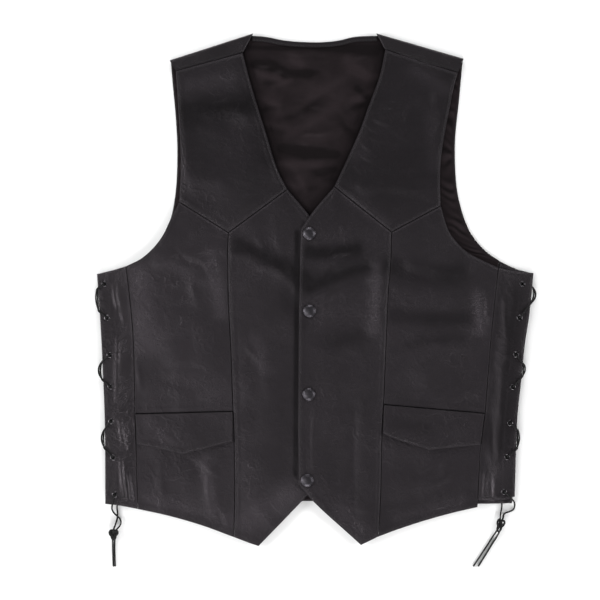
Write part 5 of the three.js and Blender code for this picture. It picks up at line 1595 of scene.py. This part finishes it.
@dataclass
class Lacing:
    """One side's lace: held through the eyelets, then two free ends through a knot."""

    side: Side
    finish: Material
    sides: int = 12
    per_span: int = 7

    def __post_init__(self) -> None:
        """Looks up the side's tables."""
        self.table = SEAMS[self.side]
        self.free = LACE_RUNS[self.side]
        self.rim_line = seam(self.table.strip_side)

    def eyelet(self, layer: str, k: int) -> Array:
        """The place of a pass through one layer's eyelet."""
        front = layer == "front"
        centres = np.array(self.table.eyelets) if front else back_eyelets(self.table)
        return np.array([*centres[k], PASS_Z["front" if front else "back"]])

    def towards(self, eyelet: Array, rim: Array, z: float) -> list[Array]:
        """Two points that lead from an eyelet across its strip's face to the strip's edge."""
        way = rim - eyelet
        way[2] = 0.0
        near = eyelet + way / np.linalg.norm(way) * TURN
        half = eyelet + way * TOWARDS_EDGE
        near[2], half[2] = z, (z + rim[2]) / 2
        return [near, half]

    def round_edge(self, start_layer: str, end_layer: str, k: int) -> list[Array]:
        """Round the strips' edge: out by a parabola, lip + (most - lip)(1 - (2t - 1)^2), and in again."""
        above, below, reach = self.table.crossings[k // 2]
        middle = (self.table.eyelets[k][1] + self.table.eyelets[k + 1][1]) / 2
        outer = "back" if self.table.first_layer == "between" and k == 0 else "front"
        most = reach if start_layer == outer else reach - CROSSING_APART
        t = np.linspace(0.0, 1.0, CROSSING_STEPS + 1)
        y = middle + above - (above + below) * t
        edge = np.interp(-y, -self.rim_line[:, 1], self.rim_line[:, 0])
        away = CROSSING_LIP + (most - CROSSING_LIP) * (1 - (2 * t - 1) ** 2)
        z = LIP_Z[start_layer] * (1 - t) + LIP_Z[end_layer] * t
        return list(np.column_stack([edge + self.table.out * away, y, z]))

    def crossing(self, start_layer: str, end_layer: str, k: int) -> list[Array]:
        """From one layer's eyelet k round the strips' edges to the other layer's eyelet k + 1."""
        start, end = self.eyelet(start_layer, k), self.eyelet(end_layer, k + 1)
        past = self.round_edge(start_layer, end_layer, k)
        return [
            *([] if start_layer == "between" else [start]),
            *self.towards(start, past[0], FACE_Z[start_layer]), *past,
            *self.towards(end, past[-1], FACE_Z[end_layer])[::-1], end,
        ]

    def inside(self, layer: str, k: int) -> list[Array]:
        """Inside the vest, along one layer from eyelet k to eyelet k + 1."""
        start, end = self.eyelet(layer, k), self.eyelet(layer, k + 1)
        turn = (end - start) / np.linalg.norm(end - start) * TURN
        near, far = start + turn, end - turn
        near[2] = far[2] = INNER_LACE_Z
        return [near, far]

    def strand(self, first: str) -> list[Array]:
        """One strand: it crosses, runs inside, and crosses again, changing layer at each crossing."""
        second = NEXT_LAYER[first]
        third = NEXT_LAYER[second]
        return [
            *self.crossing(first, second, 0), *self.inside(second, 1),
            *self.crossing(second, third, 2), *self.inside(third, 3),
            *self.crossing(third, second, 4), *self.inside(second, 5), self.eyelet(second, 6),
        ]

    def past_last(self, layer: str, first_row: Array) -> Array:
        """The point at which a strand has turned out of its last eyelet."""
        eyelet = self.eyelet(layer, 6)
        way = first_row - eyelet
        way[2] = 0.0
        near = eyelet + way / np.linalg.norm(way) * TURN
        near[2] = OUTER_LACE_Z if layer == "front" else UNDER_LACE_Z
        return near

    def middle_turn(self) -> list[Array]:
        """The lace's middle, from the first back eyelet to the first front one if that isn't empty."""
        if self.table.first_layer == "between":
            return []
        back, front = self.eyelet("back", 0), self.eyelet("front", 0)
        turn_back = back + (front - back) * MIDDLE_TURN
        turn_front = front + (back - front) * MIDDLE_TURN
        turn_back[2], turn_front[2] = INNER_LACE_Z - MIDDLE_RISE, INNER_LACE_Z + MIDDLE_RISE
        return [turn_back, turn_front]

    def routes(self) -> tuple[Array, Array, Array]:
        """The smooth centrelines of the held lace, the end over the hem and the end under it."""
        free = self.free
        knot = np.array([free.knot.x, free.knot.y, free.knot.z])
        over = np.vstack([free.over, knot + KNOT_LEAD, free.over_end])
        under = np.vstack([free.under, knot + KNOT_LEAD * [-1, 1, -1], free.under_end])
        held = [
            self.past_last("front", over[0].copy()), *self.strand("back")[::-1], *self.middle_turn(),
            *self.strand(self.table.first_layer), self.past_last("back", under[0].copy()),
        ]
        whole = spline(np.vstack([over[::-1], held, under]), self.per_span)
        whole[:, 2] = np.maximum(whole[:, 2], LACE_RADIUS + 0.05)
        a, b = (len(over) - 1) * self.per_span, (len(over) + len(held)) * self.per_span
        return whole[a : b + 1], whole[: a + 1][::-1], whole[b:]

    def knot_mesh(self) -> tuple[Array, Array, Array]:
        """The overhand knot: a cord along a trefoil, scaled to the knot's half sizes.

        The line is ((sin t + 2 sin 2t) / 3, (cos t - 2 cos 2t) / 3, -sin 3t) with each part
        times the half size less the cord's radius, round a small inner swell.
        """
        k = self.free.knot
        t = np.linspace(0.0, math.tau, 120, endpoint=False)
        across, along = (np.sin(t) + 2 * np.sin(2 * t)) / 3, (np.cos(t) - 2 * np.cos(2 * t)) / 3
        shape = np.stack([across, along, -np.sin(3 * t)], axis=1)
        room = np.array([k.across, k.along, k.high]) - k.cord
        line = shape * room * [1.12, 1.0, 0.62]
        turn = np.array([[math.cos(k.turn), -math.sin(k.turn)], [math.sin(k.turn), math.cos(k.turn)]])
        line[:, :2] = line[:, :2] @ turn.T
        centre = np.array([k.x, k.y, k.z])
        points, faces, place = tube(line + centre, k.cord, self.sides, loop=True)
        if not k.core:
            return points, faces, place
        polar = np.linspace(0.0, math.pi, 9)
        profile = tuple((float(np.sin(a)), float(-np.cos(a))) for a in polar)
        ball, cells = turned(profile, np.zeros((1, 3)), 14)
        ball = ball * (room * k.core) + centre
        faces = np.vstack([faces, cells + len(points)])
        return np.vstack([points, ball]), faces, np.vstack([place, np.zeros((len(ball), 2))])

    def build(self) -> list[Object]:
        name = self.side.value
        held, over, under = self.routes()
        lace = make_mesh(f"lace_held_{name}", *tube(held, LACE_RADIUS, self.sides))
        settle(lace, self.finish, Slot.LACE, f"lacing_{name}")
        log.info("lace_held_%s: %.3f m long", name, lengths(held)[-1] * MM)
        knot = make_mesh(f"lace_bow_{name}", *self.knot_mesh())
        settle(knot, self.finish, Slot.LACE, f"lace_knot_{name}")
        made = [lace, knot]
        for end, path, node in (("over", over, "a"), ("under", under, "b")):
            cord = make_mesh(f"lace_free_{name}_{end}", *tube(path, LACE_RADIUS, self.sides))
            settle(cord, self.finish, Slot.LACE, f"lace_tail_{name}_{node}")
            made.append(cord)
        return made


@dataclass
class Hardware:
    """The eyelets of the lacing strips and the caps of the snaps."""

    eyelet_metal: Material
    snap_metal: Material
    segments: int = 40
    cap_segments: int = 56

    @staticmethod
    def eyelet_profile(wall: float) -> Rows:
        """A ring's section: the barrel from the inner face and the flange rolled over the outer."""
        seat = wall + GAP
        return (
            (1.82, 0.0), (1.82, seat + 0.12), (1.9, seat + 0.3), (2.1, seat + 0.44), (2.4, seat + 0.5),
            (2.8, seat + 0.44), (3.15, seat + 0.3), (3.4, seat + 0.12), (3.5, seat - 0.05),
            (3.42, seat - 0.16), (2.5, seat - 0.1), (2.3, seat - 0.3), (2.3, 0.0), (1.82, 0.0),
        )

    def eyelets(self, side: Side) -> list[Object]:
        """The seven eyelets of a front strip and the seven of the back strip behind it."""
        made = []
        count = len(SEAMS[side].eyelets)
        front = np.column_stack([np.array(SEAMS[side].eyelets), np.full(count, FRONT_STRIP_UNDER)])
        back = np.column_stack([back_eyelets(SEAMS[side]), np.full(count, STRIP_TOP)])
        layers = ("front", STRIP_LEATHER, front, False), ("back", BACK_LEATHER, back, True)
        for layer, wall, centres, flip in layers:
            points, faces = turned(self.eyelet_profile(wall), centres, self.segments, flip)
            ring = make_mesh(f"eyelets_{layer}_{side.value}", points, faces)
            nodes = [f"eyelet_{layer}_{side.value}_{k + 1}" for k in range(count)]
            made.append(settle(ring, self.eyelet_metal, Slot.EYELET, *nodes))
        return made

    def snaps(self) -> list[Object]:
        """The four snap caps: a low dome in a rolled rim."""
        profile = (
            (0.0, 0.0), (7.15, 0.0), (7.42, 0.18), (7.5, 0.5), (7.4, 0.85), (7.1, 1.1), (6.7, 1.2),
            (6.35, 1.22), (6.1, 1.3), (5.7, 1.55), (5.0, 1.82), (4.0, 2.04), (2.8, 2.18), (1.4, 2.26),
            (0.0, 2.28),
        )
        made = []
        for k, (x, y) in enumerate(SNAP_CENTRES):
            points, faces = turned(profile, np.array([[x, y, SNAP_BASE]]), self.cap_segments)
            cap = make_mesh(f"snap_cap_{k + 1}", points, faces)
            made.append(settle(cap, self.snap_metal, Slot.SNAP, f"snap_{k + 1}"))
        return made

    def build(self) -> list[Object]:
        """Makes all eyelets and snap caps."""
        return [*self.eyelets(Side.LEFT), *self.eyelets(Side.RIGHT), *self.snaps()]


@dataclass
class Nodes:
    """A small helper round one node tree."""

    tree: NodeTree

    def add(self, kind: str, values: dict[str, object] | None = None, **settings: object) -> Node:
        """Adds a shader node, sets its own settings, and sets or links its inputs by name."""
        node = self.tree.nodes.new("ShaderNode" + kind)
        for key, value in settings.items():
            setattr(node, key, value)
        return self.fill(node, values or {})

    def fill(self, node: Node, values: dict[str, object]) -> Node:
        """Sets or links a node's inputs by name."""
        for key, value in values.items():
            self.feed(node.inputs[key], value)
        return node

    def feed(self, socket: Socket, value: object) -> None:
        """Links a socket to another, or sets its constant."""
        if isinstance(value, Socket):
            self.tree.links.new(value, socket)
        else:
            socket.default_value = value

    def math(self, operation: str, a: object, b: object = 0.0) -> Socket:
        """A Math node on two inputs."""
        node = self.add("Math", operation=operation)
        self.feed(node.inputs[0], a)
        self.feed(node.inputs[1], b)
        return node.outputs[0]

    def times(self, a: object, b: object) -> Socket:
        """A product."""
        return self.math("MULTIPLY", a, b)

    def spread(self, value: object, low: float, high: float, start: float = 0.0, end: float = 1.0) -> Socket:
        """Maps a range of a value onto another, clamped."""
        ends = {"From Min": low, "From Max": high, "To Min": start, "To Max": end}
        return self.add("MapRange", {"Value": value, **ends}).outputs["Result"]

    def blend(self, share: object, a: Colour | Socket, b: Colour | Socket) -> Socket:
        """Mixes two colours by a share."""
        node = self.add("Mix", data_type="RGBA")
        for k, value in zip((0, 6, 7), (share, a, b)):
            self.feed(node.inputs[k], value)
        return node.outputs[2]

    def noise(self, vector: object, scale: object, detail: float = 3.0, rough: float = 0.55) -> Socket:
        """A Noise node's value."""
        values = {"Vector": vector, "Scale": scale, "Detail": detail, "Roughness": rough}
        return self.add("TexNoise", values).outputs[0]

    def mapped(self, vector: object, values: dict[str, object]) -> Socket:
        """A vector moved, turned or scaled."""
        return self.add("Mapping", {"Vector": vector, **values}).outputs[0]

    def mark(self, name: str) -> Socket:
        """A point attribute's value."""
        return self.add("Attribute", attribute_name=name).outputs["Fac"]

    def surface(
        self, shader: Node, colour: Socket, rough: Socket, height: Socket, strength: object, depth: float
    ) -> None:
        """Feeds a Principled shader its colour, its roughness and its relief."""
        bump = self.add("Bump", {"Height": height, "Strength": strength, "Distance": depth})
        self.fill(shader, {"Base Color": colour, "Roughness": rough, "Normal": bump.outputs[0]})


def new_group(
    name: str, inputs: dict[str, float | None], outputs: tuple[str, ...]
) -> tuple[Nodes, Node, Node]:
    """Makes an empty shader node group with named sockets.

    Args:
        name: the group's name.
        inputs: for each input its number, or None where it is a vector.
        outputs: the names of its outputs, which are all numbers.

    Returns:
        The helper round the group, its input node and its output node.
    """
    group = bpy.data.node_groups.new(name, "ShaderNodeTree")
    for key, default in inputs.items():
        kind = "NodeSocketVector" if default is None else "NodeSocketFloat"
        socket = group.interface.new_socket(name=key, in_out="INPUT", socket_type=kind)
        if default is not None:
            socket.default_value = default
    for key in outputs:
        group.interface.new_socket(name=key, in_out="OUTPUT", socket_type="NodeSocketFloat")
    return Nodes(group), group.nodes.new("NodeGroupInput"), group.nodes.new("NodeGroupOutput")


def hide_group() -> NodeTree:
    """The relief and the clouding of a hide: pebbles, wrinkles, crumples and slow blotches."""
    scales = {"Pebble Scale": 900.0, "Wrinkle Scale": 170.0, "Cloud Scale": 14.0}
    n, given, made = new_group("hide", {"Vector": None, **scales}, ("Relief", "Cloud", "Scuff"))
    vector, pebble, wrinkle, cloud = (given.outputs[key] for key in ("Vector", *scales))

    def fold(value: Socket, low: float, high: float) -> Socket:
        """A line along the middle of a noise, from low in the line to high beside it."""
        return n.spread(n.math("ABSOLUTE", n.math("SUBTRACT", value, 0.5)), 0.0, 0.09, low, high)

    cells = n.add("TexVoronoi", {"Vector": vector, "Scale": pebble}, feature="DISTANCE_TO_EDGE")
    lines = fold(n.noise(vector, wrinkle, 5.0, 0.62), 0.0, 1.0)
    patchy = n.spread(n.noise(vector, 22.0, 2.0), 0.42, 0.62, 0.15)
    deep = n.times(n.math("SUBTRACT", 1.0, lines), patchy)
    grain = n.math("SUBTRACT", n.times(n.spread(cells.outputs["Distance"], 0.0, 0.18), 0.35), deep)
    worn = n.spread(n.noise(vector, 15.0, 2.0), 0.4, 0.62, 0.2)
    crumple = n.times(fold(n.noise(vector, 58.0, 4.0), 3.0, 0.0), worn)
    n.fill(made, {
        "Relief": n.math("ADD", grain, crumple),
        "Cloud": n.spread(n.noise(vector, cloud, 3.0, 0.5), 0.34, 0.68),
        "Scuff": n.spread(n.noise(vector, 95.0, 6.0, 0.7), 0.55, 0.78),
    })
    return n.tree


def speckle_group() -> NodeTree:
    """Smudges and hairline marks for worn metal."""
    n, given, made = new_group("smudge", {"Vector": None, "Scale": 300.0}, ("Smudge", "Marks"))
    vector, scale = (given.outputs[key] for key in ("Vector", "Scale"))
    stretched = n.mapped(vector, {"Rotation": (0.0, 0.0, 0.7), "Scale": (1.0, 9.0, 1.0)})
    n.fill(made, {
        "Smudge": n.spread(n.noise(vector, scale, 4.0, 0.6), 0.35, 0.7),
        "Marks": n.spread(n.noise(stretched, 900.0, 3.0, 0.7), 0.6, 0.75),
    })
    return n.tree


def new_material(name: str, constants: dict[str, object]) -> tuple[Material, Nodes, Node, Socket]:
    """A material with a Principled shader, its constants, and object coordinates."""
    material = bpy.data.materials.new(name)
    material.use_nodes = True
    n = Nodes(material.node_tree)
    shader = next(x for x in material.node_tree.nodes if x.type == "BSDF_PRINCIPLED")
    return material, n, n.fill(shader, constants), n.add("TexCoord").outputs["Object"]


LEATHER_TINT: Colour = (0.96, 0.86, 0.94, 1.0)
SATIN_TINT: Colour = (1.0, 0.8, 0.88, 1.0)


@dataclass(frozen=True)
class LeatherFinish:
    """Soft dark cowhide: its two tones, the polish of rolled edges and the depth of its relief.

    Its colour's level is a share of the clouds and of the tones on the grid, which are painted light and
    shade, read between two ends. Scuffs then lighten it, rolled edges are painted darker as shade, and
    where it is dark its relief is weaker.
    """

    name: str
    dark: Colour = (0.0006, 0.0005, 0.0006, 1.0)
    light: Colour = (0.0195, 0.0168, 0.0193, 1.0)
    gloss: float = 0.29
    rough_low: float = 0.40
    rough_high: float = 0.49
    depth: float = 0.00022
    pebble: float = 880.0
    wrinkle: float = 150.0
    cloud: float = 13.0
    shift: tuple[float, float, float] = (0.0, 0.0, 0.0)
    cloud_share: float = 0.3
    painted_tone_share: float = 0.5
    scuff_share: float = 0.25
    rim_shade_share: float = 0.6
    level: tuple[float, float] = (-0.32, 0.72)
    relief: tuple[float, float] = (0.32, 1.0)

    def build(self, hide: NodeTree) -> Material:
        """Makes the material."""
        coat = {"Coat Weight": 0.04, "Coat Roughness": 0.3}
        gloss = {"Specular IOR Level": self.gloss, "Specular Tint": LEATHER_TINT}
        material, n, shader, place = new_material(self.name, {**gloss, **coat})
        scales = {"Pebble Scale": self.pebble, "Wrinkle Scale": self.wrinkle, "Cloud Scale": self.cloud}
        moved = n.mapped(place, {"Location": self.shift})
        made = n.add("Group", {"Vector": moved, **scales}, node_tree=hide).outputs
        # The tone mark is painted light and shade; the rim mark is where rolled edges are painted darker as
        # shade
        rim, painted_tone = n.mark("rim"), n.mark("tone")
        level = n.math("ADD", n.times(made["Cloud"], self.cloud_share), n.times(painted_tone, self.painted_tone_share))
        tone = n.blend(n.spread(level, *self.level), self.dark, self.light)
        tone = n.blend(n.times(made["Scuff"], self.scuff_share), tone, self.light)
        rough = n.spread(made["Cloud"], 0.0, 1.0, self.rough_high, self.rough_low)
        dull = n.spread(n.noise(place, 19.0, 2.0), 0.4, 0.6, 0.42, 0.12)
        # Painted shade: rolled edges and seams blended towards the dark colour
        tone = n.blend(n.times(rim, self.rim_shade_share), tone, self.dark)
        rough = n.math("ADD", rough, n.times(rim, dull))
        strength = n.spread(painted_tone, -0.5, 0.8, *self.relief)
        n.surface(shader, tone, rough, made["Relief"], strength, self.depth)
        return material


@dataclass(frozen=True)
class SatinFinish:
    """Thin dark brown satin: slub streaks, a close weave and a soft sheen."""

    name: str = "satin"
    dark: Colour = (0.0005, 0.0003, 0.0003, 1.0)
    light: Colour = (0.011, 0.0081, 0.009, 1.0)
    painted_tone_share: float = 0.75
    level: tuple[float, float] = (-0.42, 0.8)
    weave: float = 620.0

    def build(self) -> Material:
        """Makes the material."""
        gloss = {"Specular IOR Level": 0.14, "Specular Tint": SATIN_TINT, "Anisotropic": 0.35}
        material, n, shader, place = new_material(self.name, {**gloss, "Sheen Weight": 0.04})
        slub = n.noise(n.mapped(place, {"Scale": (60.0, 900.0, 60.0)}), 1.0, 3.0, 0.6)
        values = {"Vector": place, "Scale": self.weave, "Distortion": 0.6, "Detail": 1.0}
        threads = (n.add("TexWave", values, wave_type="BANDS", bands_direction=way) for way in "XY")
        weave = n.math("MAXIMUM", *(node.outputs["Fac"] for node in threads))
        cloud = n.spread(n.noise(place, 26.0), 0.35, 0.68)
        uneven = n.times(cloud, n.spread(slub, 0.3, 0.7, 0.25, 0.4))
        # The tone mark is the lining's painted light and shade
        level = n.math("ADD", uneven, n.times(n.mark("tone"), self.painted_tone_share))
        n.surface(
            shader, n.blend(n.spread(level, *self.level), self.dark, self.light),
            n.spread(slub, 0.3, 0.7, 0.5, 0.6), n.math("ADD", n.times(weave, 0.4), slub), 0.35, 0.00008,
        )
        return material


@dataclass(frozen=True)
class MetalFinish:
    """Plated or blackened metal with smudges and hairline marks."""

    name: str
    dark: Colour
    light: Colour
    rough_low: float
    rough_high: float

    def build(self, smudge: NodeTree) -> Material:
        """Makes the material."""
        material, n, shader, place = new_material(self.name, {"Metallic": 1.0})
        made = n.add("Group", {"Vector": place, "Scale": 260.0}, node_tree=smudge).outputs
        rough = n.spread(made["Smudge"], 0.0, 1.0, self.rough_high, self.rough_low)
        colour = n.blend(made["Smudge"], self.dark, self.light)
        n.surface(shader, colour, rough, made["Marks"], 0.25, 0.00003)
        return material


@dataclass(frozen=True)
class LaceFinish:
    """Round braided lace: two sets of slanting strands over the cord's own length and turn."""

    name: str = "lace"
    dark: Colour = (0.0018, 0.0017, 0.0019, 1.0)
    light: Colour = (0.0065, 0.006, 0.0064, 1.0)
    strands: float = 5.0
    pitch: float = 0.0042

    def build(self) -> Material:
        """Makes the material."""
        material, n, shader, _ = new_material(self.name, {"Specular IOR Level": 0.2, "Sheen Weight": 0.02})
        split = n.add("SeparateXYZ", {"Vector": n.add("UVMap", uv_map="place").outputs[0]}).outputs
        run, turn = n.times(split["X"], math.tau / self.pitch), n.times(split["Y"], math.tau * self.strands)
        braid = n.math("MAXIMUM", *(n.math("SINE", n.math(way, run, turn)) for way in ("ADD", "SUBTRACT")))
        # The braid's grooves are painted darker as shade, its strands lighter
        colour = n.blend(n.spread(braid, -0.4, 1.0), self.dark, self.light)
        n.surface(shader, colour, n.spread(braid, -0.4, 1.0, 0.85, 0.62), braid, 0.6, 0.00012)
        return material


@dataclass(frozen=True)
class ThreadFinish:
    """Waxed black sewing thread with a fine twist."""

    name: str = "thread"
    dark: Colour = (0.003, 0.0028, 0.003, 1.0)
    light: Colour = (0.011, 0.010, 0.0106, 1.0)

    def build(self) -> Material:
        """Makes the material."""
        material, n, shader, place = new_material(self.name, {"Specular IOR Level": 0.3})
        twist = n.noise(place, 1800.0, 2.0)
        colour = n.blend(n.spread(twist, 0.35, 0.65), self.dark, self.light)
        n.surface(shader, colour, n.spread(twist, 0.35, 0.65, 0.65, 0.45), twist, 0.4, 0.0001)
        return material


@dataclass(frozen=True)
class FloorFinish:
    """A plain pale floor."""

    name: str = "floor"
    tone: Colour = (0.86, 0.86, 0.86, 1.0)
    tint: Colour = (0.9, 0.9, 0.9, 1.0)

    def build(self) -> Material:
        """Makes the material."""
        material, n, shader, place = new_material(self.name, {"Specular IOR Level": 0.2, "Roughness": 0.8})
        n.fill(shader, {"Base Color": n.blend(n.noise(place, 3.0), self.tone, self.tint)})
        return material


# Each soft light: its place, its width and height, and its power
LAMPS = {
    "key": ((-0.9, -0.6, 1.9), (1.2, 1.2), 9.0),
    "side": ((1.25, 0.25, 1.8), (0.7, 1.3), 2.0),
    "wall_left": ((-2.3, 0.0, 0.95), (1.6, 0.8), 62.0),
    "wall_right": ((2.3, 0.0, 0.95), (1.6, 0.8), 50.0),
    "wall_far": ((0.0, 2.3, 0.95), (1.6, 0.8), 48.0),
    "wall_near": ((0.0, -2.3, 0.95), (1.6, 0.8), 54.0),
}


@dataclass
class Studio:
    """The floor, the soft lights and the camera straight above."""

    middle: tuple[float, float] = (-0.0183, -0.0123)
    seen_width: float = 0.72
    height: float = 3.0
    level: float = 0.008
    sensor: float = 36.0
    floor_size: float = 6.0
    floor_z: float = -0.4
    floor_lines: int = 9
    world: float = 0.06

    def camera(self) -> None:
        """Places the camera: its focal length is sensor * distance / seen width."""
        data = bpy.data.cameras.new("camera")
        data.sensor_width = self.sensor
        data.lens = self.sensor * (self.height - self.level) / self.seen_width
        made = bpy.data.objects.new("camera", data)
        made.location = (*self.middle, self.height)
        bpy.context.scene.collection.objects.link(made)
        bpy.context.scene.camera = made

    def lamp(self, name: str) -> None:
        """A soft rectangular light that faces the vest."""
        place, size, power = LAMPS[name]
        data = bpy.data.lights.new(name, "AREA")
        data.shape = "RECTANGLE"
        data.size, data.size_y = size
        data.energy = power
        made = bpy.data.objects.new(name, data)
        made.location = place
        x, y, z = place
        made.rotation_euler = (math.atan2(math.hypot(x, y), z), 0.0, math.atan2(-y, -x) - math.pi / 2)
        bpy.context.scene.collection.objects.link(made)

    def floor(self) -> None:
        """A wide plane just under the vest."""
        side = np.linspace(-self.floor_size / 2, self.floor_size / 2, self.floor_lines) / MM
        x, y = np.meshgrid(side, side)
        points = np.column_stack([x.ravel(), y.ravel(), np.full(x.size, self.floor_z)])
        made = make_mesh("floor", points, facing_up(points, quads(*x.shape)))
        made.data.materials.append(FloorFinish().build())

    def build(self) -> None:
        """Sets up the world, the floor and the lights."""
        world = bpy.data.worlds.new("studio")
        world.use_nodes = True
        light = world.node_tree.nodes["Background"].inputs
        light[0].default_value = (1.0, 1.0, 1.0, 1.0)
        light[1].default_value = self.world
        bpy.context.scene.world = world
        bpy.context.scene.view_settings.view_transform = "Standard"
        self.floor()
        for name in LAMPS:
            self.lamp(name)


def corners(box: tuple) -> list[list[float]]:
    """A box's two corners as plain lists."""
    return [[float(c) for c in corner] for corner in box]


STRIP_FINISH = LeatherFinish(
    "leather_strip", light=(0.0150, 0.0130, 0.0148, 1.0), gloss=0.42, shift=(0.31, 0.12, 0.0),
    wrinkle=190.0, rough_low=0.32, rough_high=0.46,
)
BACK_FINISH = LeatherFinish(
    "leather_back", light=(0.008, 0.007, 0.0078, 1.0), shift=(0.07, 0.43, 0.0), rough_low=0.46,
    rough_high=0.58,
)
EYELET_FINISH = MetalFinish("eyelet_black", (0.02, 0.019, 0.021, 1.0), (0.13, 0.122, 0.13, 1.0), 0.24, 0.36)
SNAP_FINISH = MetalFinish("snap_silver", (0.062, 0.058, 0.066, 1.0), (0.105, 0.098, 0.11, 1.0), 0.32, 0.4)


def main() -> None:
    """Builds the camera, the cords and the pieces in order."""
    logging.basicConfig(level=logging.INFO, format="%(name)s: %(message)s")
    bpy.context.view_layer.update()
    studio = Studio()
    studio.camera()
    lace = LaceFinish().build()
    for side in Side:
        Lacing(side, lace).build()
    hide, smudge = hide_group(), speckle_group()
    finishes = LeatherFinish("leather_front"), STRIP_FINISH, BACK_FINISH
    front, strip, back = (finish.build(hide) for finish in finishes)
    satin, thread = SatinFinish().build(), ThreadFinish().build()
    BackBody(back, strip, satin, thread).build()
    for side in Side:
        FrontSide(side, front, strip, thread).build()
    Hardware(EYELET_FINISH.build(smudge), SNAP_FINISH.build(smudge)).build()
    studio.build()


if __name__ == "__main__":
    main()
